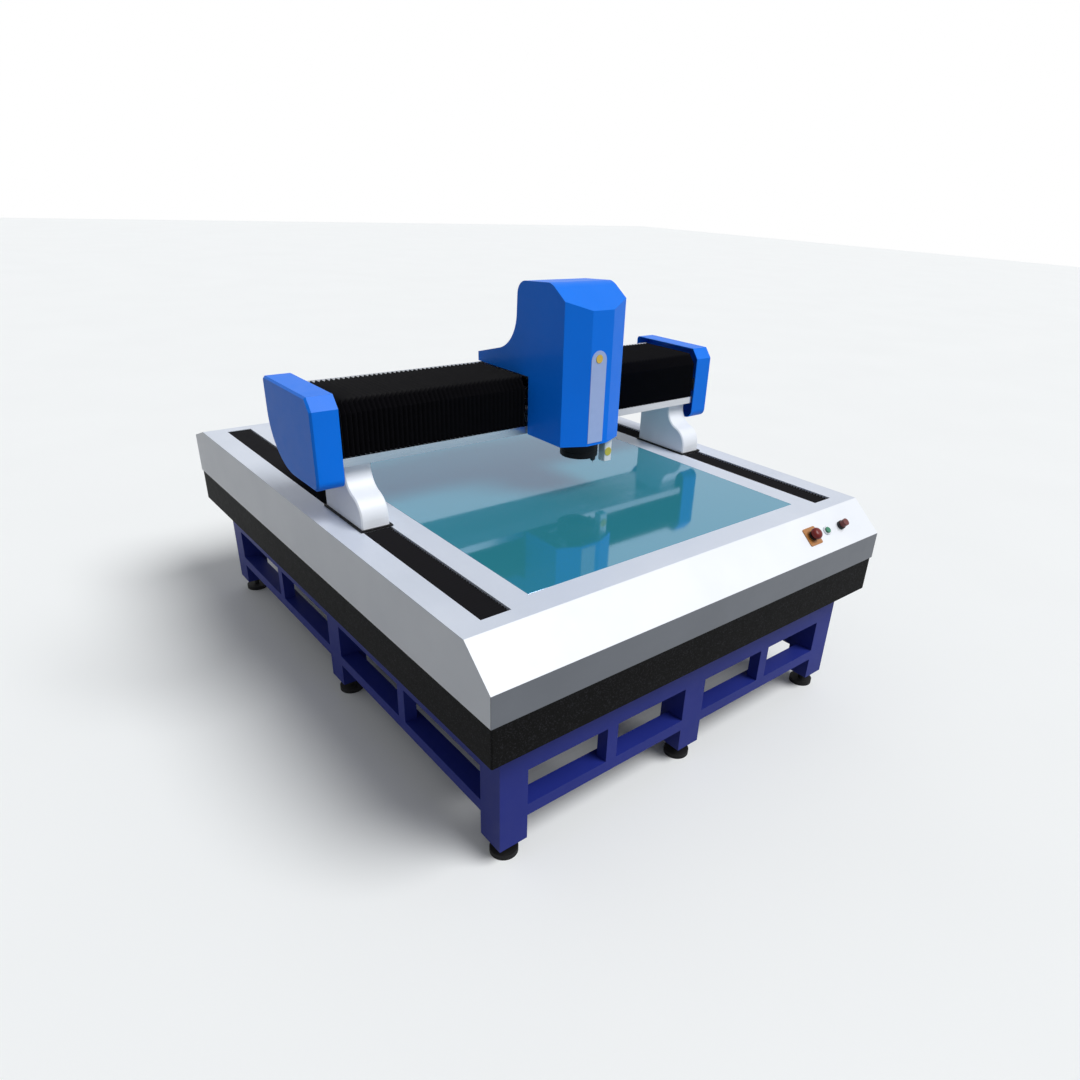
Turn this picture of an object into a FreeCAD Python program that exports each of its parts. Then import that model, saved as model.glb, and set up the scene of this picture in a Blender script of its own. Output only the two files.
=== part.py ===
import FreeCAD, Part
import math
import os

# Moving-bridge optical coordinate measuring machine. Millimetres, +Z up, X to the right along the
# front, Y to the rear. The origin lies on the floor below the middle of the covers. The bridge, head
# and optics stand where the machine was left: bridge forward of the middle, head a little right.

V = FreeCAD.Vector

# ---- stand -------------------------------------------------------------------------------------
foot_height = 53.0            # floor to the underside of a leg
foot_disc_radius = 40.0
foot_disc_height = 16.0
foot_stud_radius = 10.0
nut_corner = 17.0
nut_height = 14.0
thread_play = 0.05
leg_length = 355.0
leg_tube = 90.0
tube_wall = 4.0
leg_plate = 12.0              # threaded plate that closes the leg's lower end
stand_inset = 68.0            # covers' outer face to the legs' outer face
top_rail_height = 118.0
bottom_rail_height = 38.0
bottom_rail_depth = 60.0
bottom_rail_drop = 81.0       # legs' lower end to the bottom rail
stud_tube = 40.0

# ---- granite base and Y guides -------------------------------------------------------------------
granite_thickness = 200.0
granite_inset = 3.0           # covers' outer face to the granite's side
granite_chamfer = 4.0
rail_width = 28.0
rail_height = 26.0
rail_block_height = 36.0      # rail foot to the top of the bearing block
rail_block_width = 56.0
rail_block_length = 110.0
block_play = 0.3              # bearing block over its rail
y_rail_x = 690.0
magnet_track_x = 630.0
magnet_track_width = 48.0
magnet_track_height = 12.0
magnet_gap = 1.0
y_scale_x = 740.0
scale_width = 12.0
scale_height = 4.0
readhead_gap = 0.8
bumper_length = 24.0
bumper_gap = 1.5

# ---- covers and deck -----------------------------------------------------------------------------
cover_width = 1600.0
cover_length = 2116.0
deck_rise = 112.0             # granite's top to the deck
cover_height = 187.0          # deck to the covers' lower edge
skirt_height = 92.0
apron_run = 108.0
rear_run = 114.0
rear_drop = 39.0
sheet = 2.0
flange = 14.0
slot_length = 1800.0
slot_width = 89.0
slot_x = 676.5                # slots' centre line
vent_count = 12

# ---- stage ---------------------------------------------------------------------------------------
glass_width = 1106.0
glass_length = 1403.0
glass_thickness = 19.0
glass_front_margin = 39.0     # slots' front end to the glass
glass_ledge = 12.0
glass_gap = 0.4
frame_bar = 42.0              # width of the stage frame beside the glass
frame_clearance = 6.0         # crossbeam to granite, and stage frame to crossbeam
post_size = 34.0

# ---- bridge --------------------------------------------------------------------------------------
bridge_y = -160.0             # centre of the bridge feet at rest
bridge_travel = 1200.0
leg_width = 88.0
leg_chamfer = 4.0
leg_foot_length = 244.0
leg_neck_length = 148.0
leg_step_height = 30.0        # deck to the start of the curved front
leg_curve_height = 130.0
bridge_clearance = 185.0      # deck to the beam
foot_plate_thickness = 20.0
foot_plate_inner_x = 600.0
crossbeam_width = 110.0
crossbeam_height = 36.0
wiper_width = 7.0
wiper_height = 5.0
wiper_gap = 0.3
beam_front = -2.0             # from the feet's centre
beam_depth = 212.0
beam_height = 132.0
beam_wall = 12.0
beam_length = 1444.0
end_plate = 10.0
plate_gap = 2.0               # bellows to the edge of the end plate
guide_stack = 32.0            # beam face to the back of its bellows
strip_drop = 7.0              # beam's underside to the lower edge of the silver strip
strip_height = 25.0
strip_thickness = 3.0
leg_gap = 0.5                 # strip to the legs
rear_cover_stand_off = 10.0
cap_inner_x = 732.0
cap_thickness = 82.0
cap_front = -60.0             # from the feet's centre
cap_rear = 278.0
cap_bottom = 116.0            # deck to the caps' lower edge
cap_top = 385.0
cap_bevel_run = 28.0
cap_bevel_drop = 36.0
cap_rear_radius = 170.0
cap_chin = 30.0
cap_wall = 3.0
cap_edge_chamfer = 6.0
cap_bracket = 44.0            # height of the brackets that hold a cap

# ---- bellows -------------------------------------------------------------------------------------
pleat_depth = 18.0
pleat_sheet = 2.5
beam_pleats = 24
slot_pleats = 24
slot_bellows_depth = 14.0
slot_bellows_drop = 2.0       # deck to the top of the folds
slot_bellows_side_gap = 1.0
seat_gap = 0.3

# ---- head ----------------------------------------------------------------------------------------
head_x = 40.0                 # optical axis at rest
head_travel = 900.0
axis_front = 183.0            # feet's centre to the optical axis, forward
x_block_length = 70.0
x_block_spacing = 120.0
x_top_rail_y = 60.0           # beam's front face to the top rail
x_front_rail_z = 48.0         # beam's underside to the front rail
saddle_thickness = 24.0
saddle_width = 200.0
saddle_length = 90.0          # top plate behind the top rail
saddle_rise = 174.0           # back plate above the top plate
column_gap = 4.0              # silver strip to the lower end of the back plate
cover_w = 246.0
cover_wall = 3.0
cover_facet_run = 80.0
cover_facet_depth = 37.0
cover_front = 271.0           # feet's centre to the head cover's front, forward
cover_back = 232.0            # feet's centre to the step's rear edge
cover_bottom = 178.0          # deck to the head cover's lower edge
cover_top = 666.0
cover_gap = 8.0               # bellows to the back of the cover's lower part
step_gap = 2.0                # bellows to the lower edge of the cover's step
label_width = 62.0
label_bottom = 187.0
label_top = 478.0
label_offset = -10.0          # from the optical axis
label_thickness = 1.5
badge_radius = 13.0

# ---- Z axis and optics ---------------------------------------------------------------------------
z_travel_down = 90.0
z_travel_up = 110.0
z_rail_width = 15.0
z_rail_height = 13.0
z_rail_x = 62.0               # from the optical axis
z_block_height = 24.0
z_block_width = 34.0
z_block_length = 50.0
z_block_spacing = 85.0
z_slide_thickness = 16.0
z_slide_width = 170.0
screw_radius = 7.0
screw_lead = 10.0
screw_play = 0.05
screw_groove_pitch = 90.0     # between the turned grooves that mark the thread
nut_radius = 15.0
nut_length = 40.0
bearing_height = 20.0
window_width = 48.0
motor_size = 57.0
motor_length = 64.0
lens_radius = 27.0
lens_length = 190.0
camera_size = 46.0
camera_length = 70.0
ring_radius = 77.0
ring_height = 52.0
ring_bottom = 123.0           # deck to the ring light's lower face
ring_bore = 33.0
probe_offset = (45.0, -43.0)  # from the optical axis
probe_radius = 9.0
probe_tip = 95.0              # deck to the tip
laser_offset = (99.0, -37.0)
laser_size = 26.0
laser_bottom = 97.0

# ---- backlight -----------------------------------------------------------------------------------
backlight_size = 130.0
backlight_gap = 6.0           # glass to the lamp's window
mini_rail_width = 12.0
mini_rail_height = 8.0
mini_block_height = 12.0

# ---- controls ------------------------------------------------------------------------------------
control_x = (480.0, 560.0, 640.0)
control_up = 72.0             # along the apron from its lower edge
mount_radius = 11.2
shank_play = 0.2
estop_plate = 62.0
estop_plate_thickness = 3.0
estop_radius = 20.0
estop_press = 6.0
button_bezel_radius = 15.0
button_radius = 10.5
button_press = 3.0
switch_base_radius = 15.0
switch_knob_radius = 12.5
control_body = 46.0

# ---- derived levels and planes -------------------------------------------------------------------
z_granite = foot_height + leg_length
z_guides = z_granite + granite_thickness
z_deck = z_guides + deck_rise
z_cover = z_deck - cover_height
z_apron = z_cover + skirt_height
z_plate = z_guides + rail_block_height
z_foot = z_plate + foot_plate_thickness
z_cross = z_guides + frame_clearance
z_cross_top = z_cross + crossbeam_height
z_frame = z_cross_top + frame_clearance
z_ledge = z_deck - glass_thickness
z_beam = z_deck + bridge_clearance
z_beam_top = z_beam + beam_height
half_w = cover_width / 2
half_l = cover_length / 2
front, rear = -half_l, half_l
slot_front, slot_rear = -slot_length / 2, slot_length / 2
slot_in, slot_out = slot_x - slot_width / 2, slot_x + slot_width / 2
glass_front = slot_front + glass_front_margin
glass_rear = glass_front + glass_length
y_beam = bridge_y + beam_front
y_beam_rear = y_beam + beam_depth
y_bellows = y_beam - guide_stack - pleat_depth
z_bellows = z_beam_top + guide_stack + pleat_depth
axis_y = bridge_y - axis_front
foot_front, foot_rear = bridge_y - leg_foot_length / 2, bridge_y + leg_foot_length / 2
apron_length = math.hypot(apron_run, z_deck - z_apron)
apron_along = V(0, apron_run / apron_length, (z_deck - z_apron) / apron_length)
apron_normal = V(0, -apron_along.z, apron_along.y)
y_saddle = y_beam - rail_block_height         # saddle's back face, on the front rail's blocks
y_saddle_front = y_saddle - saddle_thickness
z_saddle = z_beam_top + rail_block_height     # saddle's underside, on the top rail's blocks
z_saddle_top = z_saddle + saddle_thickness
z_column_top = z_saddle_top + saddle_rise
z_column = z_beam - strip_drop + strip_height + column_gap
y_slide = y_saddle_front - z_block_height
y_slide_front = y_slide - z_slide_thickness
screw_y = y_saddle_front - z_block_height / 2


# ---- small builders ------------------------------------------------------------------------------
def box(x0, x1, y0, y1, z0, z1):
    """Block between two corners."""
    return Part.makeBox(x1 - x0, y1 - y0, z1 - z0, V(x0, y0, z0))


def cylinder(centre, radius, height, axis=V(0, 0, 1)):
    return Part.makeCylinder(radius, height, centre, axis)


def fused(shapes):
    return shapes[0].multiFuse(shapes[1:]).removeSplitter() if len(shapes) > 1 else shapes[0]


def outline(points):
    """Closed wire through points; a tuple of three points is an arc through them."""
    edges, last, first = [], None, None
    for item in points:
        arc = isinstance(item, tuple)
        start = item[0] if arc else item
        if last is not None and last.distanceToPoint(start) > 1e-6:
            edges.append(Part.makeLine(last, start))
        if arc:
            edges.append(Part.Arc(*item).toShape())
        first = start if first is None else first
        last = item[2] if arc else item
    if last.distanceToPoint(first) > 1e-6:
        edges.append(Part.makeLine(last, first))
    return Part.Wire(edges)


def profile_yz(points, x0, x1):
    """Outline in the YZ plane, given as vectors (0, y, z), pushed along X."""
    return extrude(outline(points), V(x0, 0, 0), V(x1 - x0, 0, 0))


def extrude(wire, start, way):
    face = Part.Face(wire)
    face.translate(start)
    return face.extrude(way)


def revolve(points, centre, axis=V(0, 0, 1)):
    """Turn an outline of (radius, height) pairs about an axis through centre."""
    wire = Part.makePolygon([V(r, 0, h) for r, h in points + points[:1]])
    solid = Part.Face(wire).revolve(V(), V(0, 0, 1), 360)
    solid.Placement = FreeCAD.Placement(centre, FreeCAD.Rotation(V(0, 0, 1), axis))
    return solid


def mirrored(shape):
    return shape.mirror(V(), V(1, 0, 0))


def both(shape):
    return [shape, mirrored(shape)]


def square_tube(x0, x1, y0, y1, z0, z1, along, wall=tube_wall):
    """Hollow rectangular tube whose bore runs along X, Y or Z."""
    low = [x0 + wall, y0 + wall, z0 + wall]
    high = [x1 - wall, y1 - wall, z1 - wall]
    i = "XYZ".index(along)
    low[i] -= 2 * wall
    high[i] += 2 * wall
    return box(x0, x1, y0, y1, z0, z1).cut(box(low[0], high[0], low[1], high[1], low[2], high[2]))


def write(name, shapes):
    """One file per node; a node of several pieces holds them as separate solids."""
    shapes = shapes if isinstance(shapes, list) else [shapes]
    shape = shapes[0] if len(shapes) == 1 else Part.makeCompound(shapes)
    shape.exportStep(os.path.join("parts", name + ".step"))


# ---- stand ---------------------------------------------------------------------------------------
leg_x = half_w - stand_inset - leg_tube / 2
leg_y = half_l - stand_inset + 4.0 - leg_tube / 2
leg_places = [(x, y) for x in (-leg_x, 0, leg_x) for y in (-leg_y, 0, leg_y) if (x, y) != (0, 0)]


def stand_legs():
    legs = []
    half = leg_tube / 2
    for x, y in leg_places:
        tube = square_tube(x - half, x + half, y - half, y + half, foot_height, z_granite, "Z")
        inner = half - tube_wall
        plate = box(x - inner, x + inner, y - inner, y + inner, foot_height, foot_height + leg_plate)
        bored = tube.fuse(plate).cut(cylinder(V(x, y, foot_height - 1), foot_stud_radius, leg_plate + 2))
        legs.append(bored.removeSplitter())
    return legs


def rails_between(z0, height, depth, cross):
    """Horizontal tubes between neighbouring legs, flush with the legs' outer faces."""
    rails = []
    half = leg_tube / 2
    for side in (-1, 1):
        outer = side * (leg_y + half)
        inner = outer - side * depth
        for x0 in (-leg_x + half, half):
            x1 = x0 + leg_x - leg_tube
            rails.append(square_tube(x0, x1, min(outer, inner), max(outer, inner), z0, z0 + height, "X"))
        outer = side * (leg_x + half)
        inner = outer - side * depth
        for y0 in (-leg_y + half, half):
            y1 = y0 + leg_y - leg_tube
            rails.append(square_tube(min(outer, inner), max(outer, inner), y0, y1, z0, z0 + height, "Y"))
    if cross:
        rails.append(square_tube(-leg_x + half, leg_x - half, -half, half, z0, z0 + height, "X"))
    return rails


z_bottom_rail = foot_height + bottom_rail_drop
z_top_rail = z_granite - top_rail_height


def stand_studs():
    """Short uprights between the bottom and the top rails, one in each bay."""
    studs = []
    z0, z1 = z_bottom_rail + bottom_rail_height, z_top_rail
    edge_x, edge_y = leg_x + leg_tube / 2, leg_y + leg_tube / 2
    for sx in (-1, 1):
        for sy in (-1, 1):
            x, y = sx * leg_x / 2, sy * (edge_y - stud_tube / 2)
            studs.append((x, y))
            studs.append((sx * (edge_x - stud_tube / 2), sy * leg_y / 2))
    h = stud_tube / 2
    return [square_tube(x - h, x + h, y - h, y + h, z0, z1, "Z", 3.0) for x, y in studs]


def levelling_feet():
    """Swivel disc and threaded stud with its nut, under every leg."""
    pieces = []
    h, s = foot_disc_height, foot_stud_radius
    for x, y in leg_places:
        disc = cylinder(V(x, y, 0), foot_disc_radius, h)
        corners = [V(x + nut_corner * math.cos(k * math.pi / 3), y + nut_corner * math.sin(k * math.pi / 3),
                     foot_height - nut_height) for k in range(7)]
        nut = Part.Face(Part.makePolygon(corners)).extrude(V(0, 0, nut_height))
        stud = cylinder(V(x, y, h), s - thread_play, foot_height + leg_plate - h)
        pieces += [disc, stud.fuse(nut).removeSplitter()]
    return pieces


# ---- granite and Y guides ------------------------------------------------------------------------
def granite():
    gx, gy = half_w - granite_inset, half_l - granite_inset
    slab = box(-gx, gx, -gy, gy, z_granite, z_guides)
    edges = [e for e in slab.Edges if abs(e.BoundBox.ZLength) < 1 or e.BoundBox.ZLength > 100]
    return slab.makeChamfer(granite_chamfer, edges)


def rail_section(width, height):
    """Half-waisted section of a profile rail, foot at zero, centred on zero: (across, up)."""
    w, waist = width / 2, width / 2 - width * 0.12
    return [(-w, 0), (w, 0), (w, height * 0.35), (waist, height * 0.5), (waist, height * 0.7),
            (w, height * 0.82), (w, height), (-w, height), (-w, height * 0.82), (-waist, height * 0.7),
            (-waist, height * 0.5), (-w, height * 0.35)]


def rail_along_y(x, y0, y1, z, width=rail_width, height=rail_height):
    points = [V(x + a, y0, z + b) for a, b in rail_section(width, height)]
    return Part.Face(Part.makePolygon(points + points[:1])).extrude(V(0, y1 - y0, 0))


def rail_along_x(x0, x1, y, z, up, width=rail_width, height=rail_height):
    """Rail along X whose foot lies on a face that looks up (+Z) or forward (-Y)."""
    if up:
        points = [V(x0, y + a, z + b) for a, b in rail_section(width, height)]
    else:
        points = [V(x0, y - b, z + a) for a, b in rail_section(width, height)]
    return Part.Face(Part.makePolygon(points + points[:1])).extrude(V(x1 - x0, 0, 0))


y_block_centres = (bridge_y - 180.0, bridge_y + 67.0)
foot_plate_front = y_block_centres[0] - rail_block_length / 2 - 10
foot_plate_rear = foot_rear + 10
reach_front = bridge_y + bridge_travel / 2     # how far the bridge can still go forward
reach_rear = bridge_travel / 2 - bridge_y


def y_rails():
    return both(rail_along_y(y_rail_x, slot_front, slot_rear, z_guides))


def y_bearing_blocks():
    """Carriages of the Y guides: a saddle over the rail with play on its three sides."""
    blocks = []
    for side in (-1, 1):
        for y in y_block_centres:
            x, half = side * y_rail_x, rail_block_length / 2
            body = box(x - rail_block_width / 2, x + rail_block_width / 2, y - half, y + half,
                       z_guides + 5, z_plate)
            slot = box(x - rail_width / 2 - block_play, x + rail_width / 2 + block_play,
                       y - half - 1, y + half + 1, z_guides, z_guides + rail_height + block_play)
            blocks.append(body.cut(slot))
    return blocks


def y_magnet_tracks():
    half = magnet_track_width / 2
    track = box(magnet_track_x - half, magnet_track_x + half, slot_front, slot_rear,
                z_guides, z_guides + magnet_track_height)
    return both(track)


def y_forcers():
    """Coil units of the linear motors, hung under the foot plates above the magnets."""
    half = magnet_track_width / 2 - 3
    coil = box(magnet_track_x - half, magnet_track_x + half, bridge_y - 110, bridge_y + 110,
               z_guides + magnet_track_height + magnet_gap, z_plate)
    return both(coil)


def y_bumpers():
    """Rubber-faced stops clamped on the Y rails just past the ends of the travel."""
    bumpers = []
    half = rail_block_width / 2
    for y in (foot_plate_front - reach_front - bumper_gap - bumper_length,
              foot_plate_rear + reach_rear + bumper_gap):
        stop = box(y_rail_x - half, y_rail_x + half, y, y + bumper_length, z_guides + 5, z_plate + 14)
        channel = box(y_rail_x - rail_width / 2, y_rail_x + rail_width / 2, y - 1, y + bumper_length + 1,
                      z_guides, z_guides + rail_height)
        bumpers += both(stop.cut(channel))
    return bumpers


def y_scale():
    return box(-y_scale_x - scale_width / 2, -y_scale_x + scale_width / 2, slot_front, slot_rear,
               z_guides, z_guides + scale_height)


def y_readhead():
    """Reader over the scale, on an arm from the left foot plate."""
    z0 = z_guides + scale_height + readhead_gap
    reader = box(-y_scale_x - 9, -y_scale_x + 9, bridge_y - 24, bridge_y + 24, z0, z_plate + 6)
    arm = box(-y_scale_x + 9, -leg_out, bridge_y - 15, bridge_y + 15, z_plate - 2, z_plate + 6)
    return reader.fuse(arm).removeSplitter()


# ---- covers --------------------------------------------------------------------------------------
cover_profile = [V(0, front, z_cover), V(0, front, z_apron), V(0, front + apron_run, z_deck),
                 V(0, rear - rear_run, z_deck), V(0, rear, z_deck - rear_drop), V(0, rear, z_cover)]


def side_panel(side):
    """Side sheet under the deck's edge, with the covers' own side outline."""
    whole = profile_yz(cover_profile, side * half_w, side * (half_w - sheet))
    inside = Part.Face(outline(cover_profile)).makeOffset2D(-sheet, join=2)
    inside = inside.extrude(V(cover_width + 2, 0, 0))
    inside.translate(V(-half_w - 1, 0, 0))
    open_bottom = inside.fuse(box(-half_w - 1, half_w + 1, front + sheet, rear - sheet,
                                  z_cover - 1, z_cover + 2 * sheet))
    return whole.common(open_bottom)


def skin(a, b, x0, x1):
    """Sheet between two points of the cover outline, its outer face through them."""
    normal = V(0, -(b.z - a.z), b.y - a.y).normalize()
    points = [a, b, b - normal * sheet, a - normal * sheet]
    return profile_yz(points, x0, x1)


def front_skirt():
    """Upright front sheet with a stiffening lip along its lower edge."""
    face = box(-half_w, half_w, front, front + sheet, z_cover, z_apron)
    lip = box(-half_w + sheet, half_w - sheet, front + sheet, front + 0.8 * granite_inset,
              z_cover, z_cover + sheet)
    return face.fuse(lip).removeSplitter()


def control_point(x):
    """Where the axis of a control meets the apron's outer face."""
    foot = V(x, front, z_apron)
    return foot + apron_along * control_up


def front_apron():
    """Sloping front sheet that carries the controls."""
    low, high = V(0, front, z_apron), V(0, front + apron_run, z_deck)
    panel = skin(low, high, -half_w, half_w)
    panel = panel.common(box(-half_w, half_w, front, front + apron_run, z_apron, z_deck))
    for x in control_x:
        panel = panel.cut(cylinder(control_point(x) - apron_normal * 10, mount_radius, 20, apron_normal))
    return panel


def rear_panel():
    """Upright rear sheet with rows of ventilation slots."""
    panel = box(-half_w, half_w, rear - sheet, rear, z_cover, z_deck - rear_drop - sheet)
    pitch = 24.0
    cuts = [box(side * 420 + k * pitch, side * 420 + k * pitch + 8, rear - sheet - 1, rear + 1,
                z_cover + 40, z_cover + 110)
            for side in (-1, 1) for k in range(-vent_count // 2, vent_count // 2)]
    return panel.cut(Part.makeCompound(cuts))


def rear_slope():
    return skin(V(0, rear - rear_run, z_deck), V(0, rear, z_deck - rear_drop), -half_w, half_w).common(
        box(-half_w, half_w, rear - rear_run, rear, z_deck - rear_drop - sheet, z_deck))


def deck_plate(x0, x1, y0, y1, flanges=()):
    """Deck sheet with edges folded down on the named sides."""
    parts = [box(x0, x1, y0, y1, z_deck - sheet, z_deck)]
    z0 = z_deck - flange
    sides = {"x0": (x0, x0 + sheet, y0, y1), "x1": (x1 - sheet, x1, y0, y1),
             "y0": (x0, x1, y0, y0 + sheet), "y1": (x0, x1, y1 - sheet, y1)}
    for name in flanges:
        a, b, c, d = sides[name]
        parts.append(box(a, b, c, d, z0, z_deck - sheet))
    return fused(parts)


def deck_rim():
    """Deck sheets in front of, behind and outside the slots."""
    return [deck_plate(-half_w, half_w, front + apron_run, slot_front),
            deck_plate(-half_w, half_w, slot_rear, rear - rear_run)] + both(
        deck_plate(slot_out, half_w, slot_front, slot_rear, ("x0",)))


def deck_inner():
    """Deck sheets between the slots, round the glass."""
    glass_x = glass_width / 2 + glass_gap
    return [deck_plate(-glass_x, glass_x, slot_front, glass_front - glass_gap),
            deck_plate(-glass_x, glass_x, glass_rear + glass_gap, slot_rear)] + both(
        deck_plate(glass_x, slot_in, slot_front, slot_rear, ("x1",)))


def cover_brackets():
    """Folded angle brackets that carry the outer deck strips and side panels on the granite."""
    brackets = []
    x1 = half_w - sheet
    for k in range(-2, 3):
        y = k * slot_length / 4.6
        upright = box(x1 - 4, x1, y - 30, y + 30, z_guides, z_deck - sheet)
        foot = box(x1 - 36, x1 - 4, y - 30, y + 30, z_guides, z_guides + 4)
        shelf = box(x1 - 30, x1 - 4, y - 30, y + 30, z_deck - sheet - 4, z_deck - sheet)
        gusset = profile_xz([(x1 - 30, z_deck - sheet - 4), (x1 - 4, z_deck - sheet - 4),
                             (x1 - 4, z_deck - sheet - 40)], y - 2, y + 2)
        brackets += both(fused([upright, foot, shelf, gusset]))
    return brackets


def profile_xz(points, y0, y1):
    wire = Part.makePolygon([V(x, y0, z) for x, z in points + points[:1]])
    return Part.Face(wire).extrude(V(0, y1 - y0, 0))


# ---- stage ---------------------------------------------------------------------------------------
def stage_frame():
    """Rebated frame that carries the glass and the inner deck sheets, open for the backlight."""
    gx = glass_width / 2
    outer = box(-gx - frame_bar, gx + frame_bar, slot_front, slot_rear, z_frame, z_deck - sheet)
    rebate = box(-gx - glass_gap, gx + glass_gap, glass_front - glass_gap, glass_rear + glass_gap,
                 z_ledge, z_deck)
    opening = box(-gx + glass_ledge, gx - glass_ledge, glass_front + glass_ledge,
                  glass_rear - glass_ledge, z_frame - 1, z_deck)
    rear_bay = box(-gx + glass_ledge, gx - glass_ledge, glass_rear + frame_bar,
                   slot_rear - frame_bar, z_frame - 1, z_deck - sheet - 6)
    return outer.cut(rebate).cut(opening).cut(rear_bay)


def stage_glass():
    gx = glass_width / 2
    plate = box(-gx, gx, glass_front, glass_rear, z_ledge, z_deck)
    edges = [e for e in plate.Edges if e.BoundBox.ZMin > z_deck - 1]
    return plate.makeChamfer(1.0, edges)


def stage_posts():
    """Four columns under the corners of the stage frame, clear of the bridge's travel."""
    posts = []
    for y in (slot_front, slot_rear - post_size):
        x1 = glass_width / 2 + frame_bar
        column = box(x1 - post_size, x1, y, y + post_size, z_guides, z_frame)
        posts += both(column)
    return posts


def deck_supports():
    """Angles on the granite under the deck's front and rear edges."""
    supports = []
    for y in (slot_front - 14, slot_rear + 4):
        for x in (-460.0, 0.0, 460.0):
            upright = box(x - 60, x + 60, y, y + 4, z_guides, z_deck - sheet)
            foot = box(x - 60, x + 60, y, y + 10, z_guides, z_guides + 4)
            supports.append(upright.fuse(foot).removeSplitter())
    return supports


# ---- bellows -------------------------------------------------------------------------------------
def pleats(section, start, length, count, way):
    """Folded sheet: the section alternates between its crest and its valley along the way."""
    step = length / (2 * count)
    rings = []
    for k in range(2 * count + 1):
        points = [start + way * (k * step) + p for p in section(k % 2 == 1)]
        rings.append(points + points[:1])
    faces = [Part.Face(Part.makePolygon(ring)) for ring in (rings[0], rings[-1])]
    for a, b in zip(rings, rings[1:]):
        for i in range(len(a) - 1):
            faces.append(Part.Face(Part.makePolygon([a[i], a[i + 1], b[i + 1], b[i], a[i]])))
    shell = Part.makeShell(faces)
    shell.sewShape()
    return Part.makeSolid(shell)


def slot_bellows(y0, y1):
    """Flat bellows that closes the right slot between the bridge foot and the slot's end."""
    x0 = slot_in + sheet + slot_bellows_side_gap
    x1 = slot_out - sheet - slot_bellows_side_gap
    top = z_deck - slot_bellows_drop
    drop = slot_bellows_depth - pleat_sheet

    def section(crest):
        z = top if crest else top - drop
        return [V(x0, 0, z), V(x1, 0, z), V(x1, 0, z - pleat_sheet), V(x0, 0, z - pleat_sheet)]

    return pleats(section, V(0, y0, 0), y1 - y0, slot_pleats, V(0, 1, 0))


def beam_section(inset):
    """Path of the beam bellows over the top and down the front, set in by inset all along."""
    run, drop = cap_bevel_run, cap_bevel_drop
    bevel = math.hypot(run, drop)
    return [V(0, y_beam_rear + 8, z_bellows - inset),
            V(0, y_bellows + run + inset * (bevel - run) / drop, z_bellows - inset),
            V(0, y_bellows + inset, z_bellows - drop - inset * (bevel - drop) / run),
            V(0, y_bellows + inset, z_beam + strip_height - strip_drop)]


def beam_bellows(x0, x1):
    def section(crest):
        inset = 0 if crest else pleat_depth - pleat_sheet
        return beam_section(inset) + beam_section(inset + pleat_sheet)[::-1]

    return pleats(section, V(x0, 0, 0), x1 - x0, beam_pleats, V(1, 0, 0))


# ---- bridge --------------------------------------------------------------------------------------
leg_in, leg_out = slot_x - leg_width / 2, slot_x + leg_width / 2


def bridge_leg():
    """Right leg: foot, curved front that sweeps back, neck under the beam."""
    neck_y = foot_rear - leg_neck_length
    z0, z1 = z_deck + leg_step_height, z_deck + leg_step_height + leg_curve_height
    shift, half = (neck_y - foot_front) / 2, leg_curve_height / 2
    radius = (shift ** 2 + half ** 2) / (2 * shift)
    angle = math.asin(half / radius) / 2
    bow = V(0, radius * (1 - math.cos(angle)), radius * math.sin(angle))
    start, end = V(0, foot_front, z0), V(0, neck_y, z1)
    middle = (start + end) * 0.5
    points = [V(0, foot_rear, z_foot), V(0, foot_front, z_foot), (start, start + bow, middle),
              (middle, end - bow, end), V(0, neck_y, z_beam), V(0, foot_rear, z_beam)]
    leg = profile_yz(points, leg_in, leg_out)
    edges = [e for e in leg.Edges if e.BoundBox.XLength < 1 and e.BoundBox.YMax < foot_rear - 1
             and e.BoundBox.ZMax > z_foot + 1]
    return leg.makeChamfer(leg_chamfer, edges)


def foot_plate():
    """Right foot plate that joins the leg, the bearing blocks, the motor coil and the crossbeam."""
    plate = box(foot_plate_inner_x, leg_out, foot_plate_front, foot_plate_rear, z_plate, z_foot)
    corner = box(slot_in + 30, leg_out + 1, foot_plate_front - 1, foot_front - 40, z_plate + 8, z_foot + 1)
    return plate.cut(corner)


def crossbeam():
    """Beam under the glass that carries the backlight in step with the bridge."""
    x = foot_plate_inner_x
    y0, y1 = axis_y - crossbeam_width / 2, axis_y + crossbeam_width / 2
    beam = square_tube(-x, x, y0, y1, z_cross, z_cross_top, "X", 5.0)
    lugs = both(box(x - 40, x, y1, y1 + 60, z_cross, z_cross_top))
    return beam.fuse(lugs).removeSplitter()


def foot_wiper():
    """Rubber frame round the right foot that sweeps the deck beside the slot."""
    z0 = z_deck + wiper_gap
    outer = box(leg_in - wiper_width, leg_out + wiper_width, foot_front - wiper_width,
                foot_rear + wiper_width, z0, z0 + wiper_height)
    return outer.cut(box(leg_in, leg_out, foot_front, foot_rear, z0 - 1, z0 + wiper_height + 1))


def bridge_beam():
    """Ribbed box beam between the end plates."""
    half = beam_length / 2
    beam = box(-half, half, y_beam, y_beam_rear, z_beam, z_beam_top)
    bays = 6
    pitch = (beam_length - beam_wall) / bays
    cells = [box(-half + beam_wall + k * pitch, -half + (k + 1) * pitch, y_beam + beam_wall,
                 y_beam_rear - beam_wall, z_beam + beam_wall, z_beam_top - beam_wall)
             for k in range(bays)]
    return beam.cut(Part.makeCompound(cells))


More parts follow.
